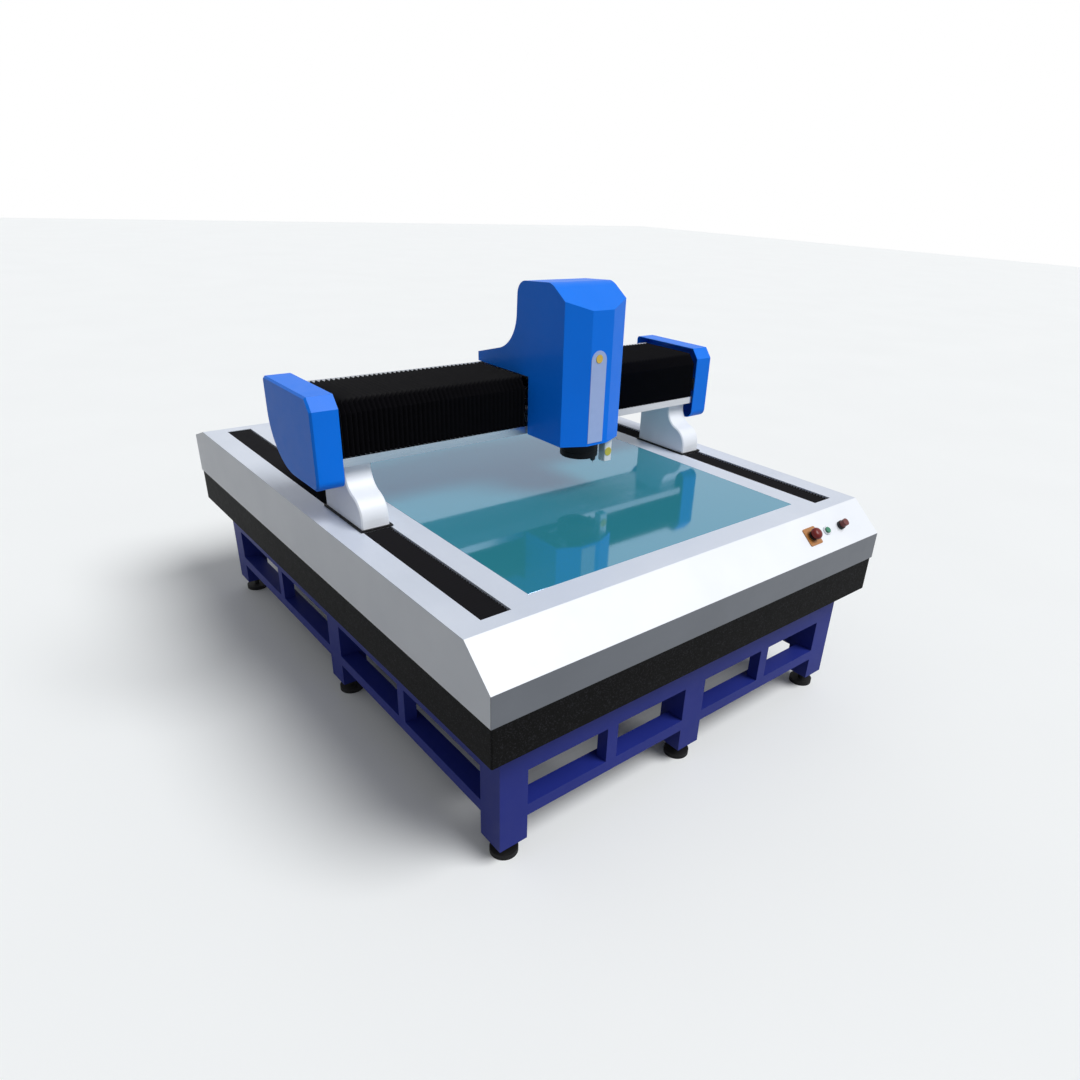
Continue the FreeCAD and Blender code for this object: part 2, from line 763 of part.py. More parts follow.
def beam_end_plate():
    """Right end plate: closes the beam, backs the bellows' end and carries the cap on two brackets."""
    path = beam_section(pleat_depth + plate_gap)
    path[0].y = y_beam_rear
    path[-1].z = z_beam
    x0, x1 = beam_length / 2, beam_length / 2 + end_plate
    plate = profile_yz(path + [V(0, y_beam_rear, z_beam)], x0, x1)
    cap_y0, cap_y1 = bridge_y + cap_front + cap_wall, bridge_y + cap_rear - cap_wall
    z = z_beam_top - cap_bracket
    front_bracket = box(x1, x1 + 18, cap_y0, path[-1].y + 30, z - cap_bracket, z)
    rear_bracket = box(x1, x1 + 6, y_beam_rear - 30, cap_y1, z_beam_top - cap_bracket / 2,
                       z_beam_top + cap_bracket / 2)
    return fused([plate, front_bracket, rear_bracket])


z_front_rail = z_beam + x_front_rail_z
y_top_rail = y_beam + x_top_rail_y


def x_rails():
    half = beam_length / 2
    return [rail_along_x(-half, half, y_top_rail, z_beam_top, True),
            rail_along_x(-half, half, y_beam, z_front_rail, False)]


def x_bearing_blocks():
    blocks = []
    half, w = x_block_length / 2, rail_block_width / 2
    slot_w = rail_width / 2 + block_play
    for x in (head_x - x_block_spacing / 2, head_x + x_block_spacing / 2):
        top = box(x - half, x + half, y_top_rail - w, y_top_rail + w, z_beam_top + 5, z_saddle)
        top = top.cut(box(x - half - 1, x + half + 1, y_top_rail - slot_w, y_top_rail + slot_w,
                          z_beam_top, z_beam_top + rail_height + block_play))
        side = box(x - half, x + half, y_saddle, y_beam - 5, z_front_rail - w, z_front_rail + w)
        side = side.cut(box(x - half - 1, x + half + 1, y_beam - rail_height - block_play, y_beam,
                            z_front_rail - slot_w, z_front_rail + slot_w))
        blocks += [top, side]
    return blocks


x_track_y = y_top_rail + rail_block_width / 2 + 12 + magnet_track_width / 2


def x_magnet_track():
    half = beam_length / 2
    return box(-half, half, x_track_y - magnet_track_width / 2, x_track_y + magnet_track_width / 2,
               z_beam_top, z_beam_top + magnet_track_height)


def x_forcer():
    w = magnet_track_width / 2 - 3
    return box(head_x - 85, head_x + 85, x_track_y - w, x_track_y + w,
               z_beam_top + magnet_track_height + magnet_gap, z_saddle)


x_scale_z = z_front_rail + rail_block_width / 2 + 14


def x_scale():
    half = beam_length / 2
    return box(-half, half, y_beam - scale_height, y_beam, x_scale_z - scale_width / 2,
               x_scale_z + scale_width / 2)


def x_readhead():
    return box(head_x - 22, head_x + 22, y_saddle, y_beam - scale_height - readhead_gap,
               x_scale_z - 9, x_scale_z + 9)


def beam_strip():
    """Silver strip along the beam's lower front edge, folded back under the beam between the legs."""
    z0, t = z_beam - strip_drop, strip_thickness
    neck_y = foot_rear - leg_neck_length
    face = box(-cap_inner_x, cap_inner_x, y_bellows, y_bellows + t, z0, z0 + strip_height)
    lip = box(-cap_inner_x, cap_inner_x, y_bellows + t, neck_y - leg_gap, z0, z0 + t)
    shelf = box(-leg_in + leg_gap, leg_in - leg_gap, neck_y - leg_gap, y_beam + 30, z0, z0 + t)
    tab = box(-leg_in + leg_gap, leg_in - leg_gap, y_beam + 5, y_beam + 30, z0 + t, z_beam)
    return fused([face, lip, shelf, tab])


def beam_rear_cover():
    """Rear sheet of the beam on a batten, its top edge folded in under the bellows' rear edge."""
    y0 = y_beam_rear + rear_cover_stand_off
    z_lip = z_bellows - pleat_depth - 6
    batten = box(-cap_inner_x, cap_inner_x, y_beam_rear, y0, z_beam, z_beam + 10)
    face = box(-cap_inner_x, cap_inner_x, y0, y0 + sheet, z_beam, z_bellows)
    half = beam_length / 2 - leg_gap
    lip = box(-half, half, y_beam_rear - 8, y0, z_lip, z_lip + sheet)
    return fused([batten, face, lip])


def cap_wire():
    y0, y1 = bridge_y + cap_front, bridge_y + cap_rear
    z0, z1 = z_deck + cap_bottom, z_deck + cap_top
    r, c = cap_rear_radius, cap_chin
    s = math.sqrt(0.5)
    return outline([
        (V(0, y0, z0 + c), V(0, y0 + c * (1 - s), z0 + c * (1 - s)), V(0, y0 + c, z0)),
        (V(0, y1 - r, z0), V(0, y1 - r + r * s, z0 + r - r * s), V(0, y1, z0 + r)),
        (V(0, y1, z1 - 12), V(0, y1 - 12 * (1 - s), z1 - 12 * (1 - s)), V(0, y1 - 12, z1)),
        V(0, y0 + cap_bevel_run, z1), V(0, y0, z1 - cap_bevel_drop)])


def end_cap():
    """Right end cap: moulded shell with a bevelled brow and a swept rear, open to the beam."""
    wire = cap_wire()
    solid = extrude(wire, V(cap_inner_x, 0, 0), V(cap_thickness, 0, 0))
    rim = [e for e in solid.Edges if e.BoundBox.XMin > cap_inner_x + cap_thickness - 1]
    solid = solid.makeChamfer(cap_edge_chamfer, rim)
    hollow = Part.Face(wire).makeOffset2D(-cap_wall, join=2)
    hollow.translate(V(cap_inner_x - 1, 0, 0))
    return solid.cut(hollow.extrude(V(cap_thickness - cap_wall - cap_edge_chamfer + 1, 0, 0)))


# ---- head ----------------------------------------------------------------------------------------
def x_saddle():
    """Angle casting: top plate on the upper rail, back plate on the front rail, ribbed column."""
    half = saddle_width / 2
    x0, x1 = head_x - half, head_x + half
    points = [V(0, y_saddle_front, z_column), V(0, y_saddle, z_column), V(0, y_saddle, z_saddle),
              V(0, y_top_rail + saddle_length, z_saddle), V(0, y_top_rail + saddle_length, z_saddle_top),
              V(0, y_saddle + 40, z_saddle_top), V(0, y_saddle, z_saddle_top + 90),
              V(0, y_saddle, z_column_top), V(0, y_saddle_front, z_column_top)]
    casting = profile_yz(points, x0, x1)
    rib_gap = box(x0 + 14, x1 - 14, y_saddle, y_saddle + 60, z_saddle_top, z_column_top)
    window = box(head_x - window_width / 2, head_x + window_width / 2, y_saddle_front - 1, y_saddle,
                 z_column + bearing_height + 6, z_column_top - 24)
    return fused([casting.cut(rib_gap).cut(window)] + cover_struts())


def head_profile():
    """Side outline of the head cover: step over the beam, swept column, chamfered brow."""
    y_front, y_back = bridge_y - cover_front, bridge_y + cover_back
    y_low = y_bellows - cover_gap
    z0, z1 = z_deck + cover_bottom, z_deck + cover_top
    z_step = z_bellows + step_gap
    y_col = y_low + 65.0
    brow = 116.0
    return [V(0, y_front, z0), V(0, y_front, z1 - 70),
            (V(0, y_front + 81, z1 - 15), V(0, y_front + 98, z1 - 5), V(0, y_front + brow, z1)),
            (V(0, y_col - 45, z1 - 7), V(0, y_col - 13, z1 - 20), V(0, y_col, z1 - 52)),
            (V(0, y_col + 3, z1 - 116), V(0, y_col + 33, z1 - 190), V(0, y_col + 105, z1 - 234)),
            V(0, y_back, z_step + 31), V(0, y_back, z_step), V(0, y_low, z_step), V(0, y_low, z0)]


def head_plan(inset):
    """Plan outline of the head cover with its three front facets, set in by inset."""
    y_front, y_back = bridge_y - cover_front, bridge_y + cover_back
    h, run, depth = cover_w / 2, cover_facet_run, cover_facet_depth
    points = [(-h, y_back), (-h, y_front + depth), (-h + run, y_front), (h - run, y_front),
              (h, y_front + depth), (h, y_back)]
    wire = Part.makePolygon([V(head_x + x, y, 0) for x, y in points + points[:1]])
    face = Part.Face(wire)
    face = face.makeOffset2D(-inset, join=2) if inset else face
    return face.extrude(V(0, 0, 4 * z_deck))


def head_cover():
    """Folded and welded head cover, open below, towards the beam and under its step."""
    x0, x1 = head_x - cover_w / 2, head_x + cover_w / 2
    wire = outline(head_profile())
    solid = extrude(wire, V(x0, 0, 0), V(cover_w, 0, 0)).common(head_plan(0))
    hollow = Part.Face(wire).makeOffset2D(-cover_wall, join=2)
    hollow.translate(V(x0 - 1, 0, 0))
    inner = hollow.extrude(V(cover_w + 2, 0, 0)).common(head_plan(cover_wall))
    below = inner.copy()
    below.translate(V(0, 0, -2 * cover_wall))
    y_low = y_bellows - cover_gap
    back = box(x0 + cover_wall, x1 - cover_wall, y_low - 2 * cover_wall, y_low + 1,
               z_deck + cover_bottom - 1, z_bellows + step_gap + 2 * cover_wall)
    return solid.cut(inner).cut(below).cut(back)


def label_strip():
    """Plain strip with a round top on the head cover's middle facet."""
    y1 = bridge_y - cover_front
    x, r = head_x + label_offset, label_width / 2
    z0, z1 = z_deck + label_bottom, z_deck + label_top
    wire = outline([V(x - r, 0, z0), (V(x - r, 0, z1 - r), V(x, 0, z1), V(x + r, 0, z1 - r)), V(x + r, 0, z0)])
    return extrude(wire, V(0, y1 - label_thickness, 0), V(0, label_thickness, 0))


def label_badge():
    """Round plain badge near the strip's top."""
    y = bridge_y - cover_front - label_thickness
    z = z_deck + label_top - badge_radius - 12
    return cylinder(V(head_x + label_offset, y - 1.5, z), badge_radius, 1.5, V(0, 1, 0))


def cover_struts():
    """Spacers between the saddle and the head cover's side walls."""
    x_wall = cover_w / 2 - cover_wall
    half = saddle_width / 2
    struts = []
    for side in (-1, 1):
        for z, y0 in ((z_column + 10, y_saddle_front - 16), (z_saddle_top + 60, y_saddle_front)):
            x0, x1 = sorted((head_x + side * half, head_x + side * x_wall))
            struts.append(box(x0, x1, y0, y_saddle_front + 18, z, z + 22))
    return struts


# ---- Z axis --------------------------------------------------------------------------------------
z_block_reach = z_block_spacing / 2 + z_block_length / 2
z_block_mid = z_column + z_travel_down + z_block_reach + 4.0     # middle of the four Z blocks at rest


def z_rails():
    rails = []
    for side in (-1, 1):
        points = [V(head_x + side * z_rail_x + a, y_saddle_front - b, z_column)
                  for a, b in rail_section(z_rail_width, z_rail_height)]
        rails.append(Part.Face(Part.makePolygon(points + points[:1])).extrude(
            V(0, 0, z_column_top - z_column)))
    return rails


def z_bearing_blocks():
    blocks = []
    half, w, s = z_block_length / 2, z_block_width / 2, z_rail_width / 2 + block_play
    for side in (-1, 1):
        x = head_x + side * z_rail_x
        for z in (z_block_mid - z_block_spacing / 2, z_block_mid + z_block_spacing / 2):
            body = box(x - w, x + w, y_slide, y_saddle_front - 3, z - half, z + half)
            slot = box(x - s, x + s, y_saddle_front - z_rail_height - block_play, y_saddle_front,
                       z - half - 1, z + half + 1)
            blocks.append(body.cut(slot))
    return blocks


def z_slide():
    """Plate on the Z blocks, carried down to hold the optics, with an arm for the laser pointer."""
    half = z_slide_width / 2
    top = z_block_mid + z_block_reach + 2
    bottom = z_deck + ring_bottom + ring_height + 12
    low = z_block_mid - z_block_reach - 2
    x_laser, y_laser = head_x + laser_offset[0], axis_y + laser_offset[1] + laser_size / 2
    x_arm = x_laser + laser_size / 2
    plate = box(head_x - half, head_x + half, y_slide_front, y_slide, low, top)
    tongue = box(head_x - 45, head_x + 45, y_slide_front, y_slide, bottom, low)
    cross_arm = box(head_x + 20, x_arm, y_slide_front - 14, y_slide_front, bottom, bottom + 12)
    long_arm = box(x_arm - laser_size, x_arm, y_laser, y_slide_front - 14, bottom, bottom + 12)
    return fused([plate, tongue, cross_arm, long_arm])


def z_nut():
    """Ball nut in its housing, reaching through the column's window to the screw."""
    z0 = z_block_mid - nut_length / 2
    housing = box(head_x - nut_radius - 4, head_x + nut_radius + 4, y_slide, screw_y + nut_radius,
                  z0, z0 + nut_length)
    bore = cylinder(V(head_x, screw_y, z0 - 1), screw_radius + screw_play, nut_length + 2)
    return housing.cut(bore)


z_screw_bottom = z_column + 2
z_screw_top = z_column_top + 14


def z_screw():
    """Ball screw: threaded length between plain journals."""
    r = screw_radius
    journal = r - 2
    points = [(0, 0), (journal, 0), (journal, bearing_height), (r, bearing_height)]
    length = z_screw_top - z_screw_bottom
    z = bearing_height
    for k in range(3):
        z0 = z + k * screw_groove_pitch
        points += [(r, z0 + 6), (r - 1.2, z0 + 6), (r - 1.2, z0 + 14), (r, z0 + 14)]
    points += [(r, length - bearing_height - 4), (journal, length - bearing_height - 4),
               (journal, length), (0, length)]
    return revolve(points, V(head_x, screw_y, z_screw_bottom))


def z_bearings():
    """Lower and upper bearing housings of the screw; the upper one carries the motor."""
    journal = screw_radius - 2 + screw_play
    low = box(head_x - 24, head_x + 24, y_saddle_front - z_block_height + 2, y_saddle_front,
              z_column, z_column + bearing_height)
    high = box(head_x - motor_size / 2, head_x + motor_size / 2, y_slide + 2,
               screw_y + motor_size / 2, z_column_top, z_column_top + 10)
    cut = cylinder(V(head_x, screw_y, z_column - 1), journal, 2000)
    return [low.cut(cut), high.cut(cut)]


def z_motor():
    """Square motor with a coupling cup below and a brake housing on top."""
    z0 = z_column_top + 10
    half = motor_size / 2
    y = screw_y + 3
    body = box(head_x - half, head_x + half, y - half + 11, y + half + 2, z0, z0 + motor_length)
    corners = [e for e in body.Edges if e.BoundBox.ZLength > motor_length - 1]
    body = body.makeChamfer(4.0, corners)
    brake = cylinder(V(head_x, y + 4, z0 + motor_length), half - 8, 22)
    pocket = cylinder(V(head_x, screw_y, z0 - 1), screw_radius + 1, z_screw_top - z0 + 3)
    return body.fuse(brake).removeSplitter().cut(pocket)


def z_scale():
    x = head_x + saddle_width / 2 - scale_width
    return box(x, x + scale_width, y_saddle_front - scale_height, y_saddle_front,
               z_column, z_column_top)


def z_readhead():
    """Reader on the slide's right edge, looking back at the scale."""
    return box(head_x + z_slide_width / 2, head_x + saddle_width / 2 - 1, y_slide_front + 4,
               y_saddle_front - scale_height - readhead_gap, z_block_mid - 20, z_block_mid + 20)


z_ring = z_deck + ring_bottom


def lens_clamps():
    """Two split clamps that hold the lens on the slide."""
    clamps = []
    for z in (z_ring + ring_height + 40, z_ring + ring_height + 130):
        body = box(head_x - 42, head_x + 42, axis_y - 10, y_slide_front, z, z + 22)
        clamps.append(body.cut(cylinder(V(head_x, axis_y, z - 1), lens_radius, 24)))
    return clamps


def zoom_lens():
    """Motorised zoom lens: stepped barrel with a knurled zoom collar."""
    r = lens_radius
    z0 = ring_height + 4
    points = [(0, z0 - 30), (r - 7, z0 - 30), (r - 7, z0), (r, z0), (r, z0 + 70), (r + 5, z0 + 70),
              (r + 5, z0 + 100), (r, z0 + 100), (r, z0 + lens_length), (0, z0 + lens_length)]
    return revolve(points, V(head_x, axis_y, z_ring))


def camera():
    """Camera on the lens, with cooling grooves."""
    z0 = z_ring + ring_height + 4 + lens_length
    h = camera_size / 2
    body = box(head_x - h, head_x + h, axis_y - h, axis_y + h, z0, z0 + camera_length)
    grooves = [box(head_x - h - 1, head_x - h + 3, axis_y - h - 1, axis_y + h + 1,
                   z0 + 12 + k * 10, z0 + 16 + k * 10) for k in range(5)]
    return body.cut(Part.makeCompound(grooves + [g.mirror(V(head_x, 0, 0), V(1, 0, 0)) for g in grooves]))


def ring_light():
    """Ring light housing: deep dish with a lamp ledge and a top plate on the lens."""
    r, b, h = ring_radius, ring_bore, ring_height
    neck = lens_radius - 7 + 0.2
    points = [(b, 0), (r, 0), (r, h), (neck, h), (neck, h - 8), (r - 6, h - 8), (r - 6, 8), (b, 8)]
    return revolve(points, V(head_x, axis_y, z_ring))


def ring_diffuser():
    """Frosted ring inside the ring light."""
    points = [(ring_bore + 1, 8), (ring_radius - 7, 8), (ring_radius - 7, 12), (ring_bore + 1, 12)]
    return revolve(points, V(head_x, axis_y, z_ring))


def touch_probe():
    """Touch probe under the ring light, beside the lens: socket, body and stylus."""
    x, y = head_x + probe_offset[0], axis_y + probe_offset[1]
    top = z_ring
    tip = z_deck + probe_tip
    return revolve([(0, 0), (3.0, 3.0), (1.6, 6.0), (1.6, 12), (probe_radius, 12), (probe_radius, top - tip),
                    (0, top - tip)], V(x, y, tip))


def laser_module():
    """Small white laser pointer box on a bracket from the slide."""
    x, y = head_x + laser_offset[0], axis_y + laser_offset[1]
    h = laser_size / 2
    z0 = z_deck + laser_bottom
    body = box(x - h, x + h, y - h, y + h, z0, z_ring + ring_height + 24)
    edges = [e for e in body.Edges if e.BoundBox.ZLength > 10]
    return body.makeChamfer(3.0, edges)


def laser_cap():
    """Plain round cap on the laser box."""
    x, y = head_x + laser_offset[0], axis_y + laser_offset[1]
    h = laser_size / 2
    return cylinder(V(x - 1, y - h - 1.5, z_deck + laser_bottom + 34), 9.0, 1.5, V(0, 1, 0))


# ---- backlight -----------------------------------------------------------------------------------
z_mini = z_cross_top
z_lamp = z_mini + mini_block_height


def backlight_rails():
    x = glass_width / 2 - glass_ledge - 1
    return [rail_along_x(-x, x, axis_y + s * 38, z_mini, True, mini_rail_width, mini_rail_height)
            for s in (-1, 1)]


def backlight_blocks():
    blocks = []
    w = mini_rail_width / 2 + block_play
    for s in (-1, 1):
        y = axis_y + s * 38
        body = box(head_x - 50, head_x + 50, y - 13, y + 13, z_mini + 2, z_lamp)
        blocks.append(body.cut(box(head_x - 51, head_x + 51, y - w, y + w, z_mini,
                                   z_mini + mini_rail_height + block_play)))
    return blocks


def backlight():
    """Collimated lamp box that follows the head under the glass."""
    h = backlight_size / 2
    top = z_ledge - backlight_gap
    body = box(head_x - h, head_x + h, axis_y - h, axis_y + h, z_lamp, top)
    edges = [e for e in body.Edges if e.BoundBox.ZLength > 10]
    body = body.makeChamfer(10.0, edges)
    return body.cut(cylinder(V(head_x, axis_y, z_lamp + 6), h - 15, top))


def backlight_lens():
    h = backlight_size / 2 - 15
    top = z_ledge - backlight_gap
    return cylinder(V(head_x, axis_y, z_lamp + 6), h - 0.1, top - z_lamp - 8)


# ---- controls ------------------------------------------------------------------------------------
def on_apron(x, points):
    """Turned piece about a control's axis: (radius, height above the apron) pairs."""
    return revolve(points, control_point(x), apron_normal)


def plate_on_apron(x, size, thickness, corner):
    h = size / 2
    plate = box(-h, h, -h, h, 0, thickness)
    plate = plate.makeFillet(corner, [e for e in plate.Edges if e.BoundBox.ZLength > thickness - 1e-3
                                      and e.BoundBox.XLength < 1e-3 and e.BoundBox.YLength < 1e-3])
    plate.Placement = FreeCAD.Placement(control_point(x), FreeCAD.Rotation(V(0, 0, 1), apron_normal))
    return plate


shank = mount_radius - shank_play
stem = 6.0


def controls():
    """Emergency stop, start button and power switch, keyed by node name."""
    x_stop, x_start, x_power = control_x
    t = estop_plate_thickness
    plate = plate_on_apron(x_stop, estop_plate, t, 6.0)
    plate = plate.cut(on_apron(x_stop, [(0, -1), (mount_radius, -1), (mount_radius, t + 1), (0, t + 1)]))
    bore = stem + 0.05
    gap = 0.3
    body = [(bore, -control_body), (14.5, -control_body), (14.5, -sheet), (shank, -sheet), (shank, t),
            (16, t), (16, t + 6), (bore, t + 6)]
    lift = t + 6 + estop_press + gap
    r = estop_radius
    spindle = [(0, -control_body + 8), (stem, -control_body + 8), (stem, lift + 12), (0, lift + 12)]
    head = [(bore, lift), (r, lift), (r, lift + 10), (r * 0.6, lift + 18), (0, lift + 18),
            (0, lift + 12.05), (bore, lift + 12.05)]
    rb, bb = button_radius, button_bezel_radius
    start_body = [(rb - 3.95, -control_body + 10), (13, -control_body + 10), (13, -sheet), (shank, -sheet),
                  (shank, 0), (bb, 0), (bb, 5), (rb + 0.05, 5), (rb + 0.05, -gap), (rb - 3.95, -gap)]
    button = [(0, -control_body + 14), (rb - 4, -control_body + 14), (rb - 4, button_press),
              (rb, button_press), (rb, 10), (0, 10)]
    sb, sk = switch_base_radius, switch_knob_radius
    power_body = [(4.05, -control_body + 6), (13, -control_body + 6), (13, -sheet), (shank, -sheet),
                  (shank, 0), (sb, 0), (sb, 9), (4.05, 9)]
    knob = on_apron(x_power, [(0, -control_body + 10), (4, -control_body + 10), (4, 9 + gap), (sk, 9 + gap),
                              (sk, 27), (0, 27)])
    grip = box(-sk - 1, sk + 1, sk * 0.35, sk + 1, 15, 30)
    cuts = [grip, grip.mirror(V(), V(0, 1, 0))]
    for cut in cuts:
        cut.Placement = FreeCAD.Placement(control_point(x_power), FreeCAD.Rotation(V(0, 0, 1), apron_normal))
    return {
        "estop_plate": plate,
        "control_bodies": [on_apron(x_stop, body), on_apron(x_start, start_body),
                           on_apron(x_power, power_body)],
        "estop_stem": on_apron(x_stop, spindle),
        "estop_mushroom": on_apron(x_stop, head),
        "start_button": on_apron(x_start, button),
        "power_switch_knob": knob,
    }


# ---- electronics ---------------------------------------------------------------------------------
def motion_controller():
    """Control box on the granite behind the slots, with cooling ribs along its top."""
    y0 = slot_rear + 18
    z1 = z_deck - 40
    body = box(-300, 100, y0, y0 + 110, z_guides, z1)
    grooves = [box(-290 + k * 32, -278 + k * 32, y0 - 1, y0 + 111, z1 - 8, z1 + 1) for k in range(12)]
    return body.cut(Part.makeCompound(grooves))


def power_supply():
    y0 = slot_rear + 18
    return box(140, 340, y0, y0 + 110, z_guides, z_guides + 48)


def main():
    os.makedirs("parts", exist_ok=True)
    bottom_rails = rails_between(z_bottom_rail, bottom_rail_height, bottom_rail_depth, False)
    write("stand_legs", stand_legs())
    write("stand_top_rails", rails_between(z_top_rail, top_rail_height, leg_tube, True))
    write("stand_lower_frame", bottom_rails + stand_studs())
    write("levelling_feet", levelling_feet())
    write("granite_base", granite())
    write("y_rails", y_rails())
    write("y_magnet_tracks", y_magnet_tracks() + [y_scale()])
    write("y_bumpers", y_bumpers())
    write("side_panels", [side_panel(-1), side_panel(1)])
    write("front_skirt", front_skirt())
    write("front_apron", front_apron())
    write("rear_panel", [rear_panel(), rear_slope()])
    write("deck_rim", deck_rim())
    write("deck_inner", deck_inner())
    write("cover_brackets", cover_brackets() + deck_supports() + stage_posts())
    write("stage_frame", stage_frame())
    write("stage_glass", stage_glass())
    write("motion_controller", [motion_controller(), power_supply()])
    for name, shape in controls().items():
        write(name, shape)

    write("slot_bellows_front", both(slot_bellows(slot_front, foot_front - seat_gap)))
    write("slot_bellows_rear", both(slot_bellows(foot_rear + seat_gap, slot_rear)))
    write("beam_bellows_left", beam_bellows(-cap_inner_x, head_x - cover_w / 2 - seat_gap))
    write("beam_bellows_right", beam_bellows(head_x + cover_w / 2 + seat_gap, cap_inner_x))

    write("bridge_legs", both(bridge_leg()))
    write("foot_plates", both(foot_plate()))
    write("foot_wipers", both(foot_wiper()))
    write("y_bearing_blocks", y_bearing_blocks())
    write("y_forcers", y_forcers() + [y_readhead()])
    write("lower_crossbeam", [crossbeam()] + backlight_rails())
    write("bridge_beam", bridge_beam())
    write("beam_end_plates", both(beam_end_plate()))
    write("end_caps", both(end_cap()))
    write("beam_strip", beam_strip())
    write("beam_rear_cover", beam_rear_cover())
    write("x_rails", x_rails())
    write("x_magnet_track", [x_magnet_track(), x_scale()])

    write("x_bearing_blocks", x_bearing_blocks())
    write("x_forcer", [x_forcer(), x_readhead()])
    write("x_saddle", x_saddle())
    write("head_cover", head_cover())
    write("label_strip", label_strip())
    write("label_badge", label_badge())
    write("z_rails", z_rails() + [z_scale()])
    write("z_motor", [z_motor()] + z_bearings())
    write("z_screw", z_screw())

    write("z_slide", [z_slide(), z_readhead()] + lens_clamps())
    write("z_bearing_blocks", z_bearing_blocks())
    write("z_nut", z_nut())
    write("zoom_lens", zoom_lens())
    write("camera", camera())
    write("ring_light", [ring_light(), ring_diffuser()])
    write("touch_probe", touch_probe())
    write("laser_module", laser_module())
    write("laser_cap", laser_cap())

    write("backlight", [backlight(), backlight_lens()] + backlight_blocks())


main()
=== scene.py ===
"""Looks of a moving-bridge optical coordinate measuring machine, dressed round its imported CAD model."""

import logging
import math
from collections.abc import Callable
from dataclasses import dataclass
from enum import Enum

import bmesh
import bpy
from mathutils import Matrix, Vector


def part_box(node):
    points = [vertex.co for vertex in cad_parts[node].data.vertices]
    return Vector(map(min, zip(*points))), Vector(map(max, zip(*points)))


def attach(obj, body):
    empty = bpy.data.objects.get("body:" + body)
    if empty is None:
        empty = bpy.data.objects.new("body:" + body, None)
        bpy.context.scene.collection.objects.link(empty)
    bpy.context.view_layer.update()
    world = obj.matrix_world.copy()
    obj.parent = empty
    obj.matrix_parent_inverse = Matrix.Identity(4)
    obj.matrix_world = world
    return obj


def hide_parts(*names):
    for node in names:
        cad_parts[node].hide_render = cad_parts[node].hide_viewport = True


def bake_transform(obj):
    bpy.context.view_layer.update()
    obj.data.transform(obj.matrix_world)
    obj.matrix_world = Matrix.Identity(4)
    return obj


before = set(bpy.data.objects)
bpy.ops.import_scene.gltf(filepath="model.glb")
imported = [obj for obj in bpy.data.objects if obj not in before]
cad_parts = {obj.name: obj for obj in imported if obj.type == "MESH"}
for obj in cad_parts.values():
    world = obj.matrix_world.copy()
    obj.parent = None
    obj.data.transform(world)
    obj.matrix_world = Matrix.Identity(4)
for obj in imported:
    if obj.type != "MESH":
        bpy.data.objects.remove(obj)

LOG = logging.getLogger("measuring_machine")
MM = 0.001
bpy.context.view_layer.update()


class Way(Enum):
    """Direction that a bellows opens along."""

    ALONG_BEAM = 0
    ALONG_SLOT = 1


# From a fold's state, True at an outer fold, to the cloth's section there.
Section = Callable[[bool], list[Vector]]


# ---- colour and node helpers ---------------------------------------------------------------------
def linear(code: str) -> tuple[float, float, float, float]:
    """Turns an sRGB hex colour into linear RGBA.

    Args:
        code: Six hex digits, such as "1E6FD8".

    Returns:
        The colour as four floats, alpha 1.
    """
    channels = [int(code[i:i + 2], 16) / 255 for i in (0, 2, 4)]
    red, green, blue = (c / 12.92 if c <= 0.04045 else ((c + 0.055) / 1.055) ** 2.4 for c in channels)
    return (red, green, blue, 1.0)


def add(tree: bpy.types.NodeTree, kind: str, links: dict | None = None, **settings: object) -> bpy.types.Node:
    """Adds one shader node.

    Args:
        tree: Node tree that gets the node.
        kind: Blender's node type, such as "ShaderNodeTexNoise".
        links: Input name or number to a value, or to an output socket that feeds it.
        **settings: Attributes of the node.

    Returns:
        The new node.
    """
    node = tree.nodes.new(kind)
    for name, value in settings.items():
        setattr(node, name, value)
    for name, value in (links or {}).items():
        if isinstance(value, bpy.types.NodeSocket):
            tree.links.new(value, node.inputs[name])
        else:
            node.inputs[name].default_value = value
    return node


def grain(size_mm: float) -> float:
    """Texture scale whose features are about this many millimetres wide."""
    return 1.0 / (size_mm * MM)


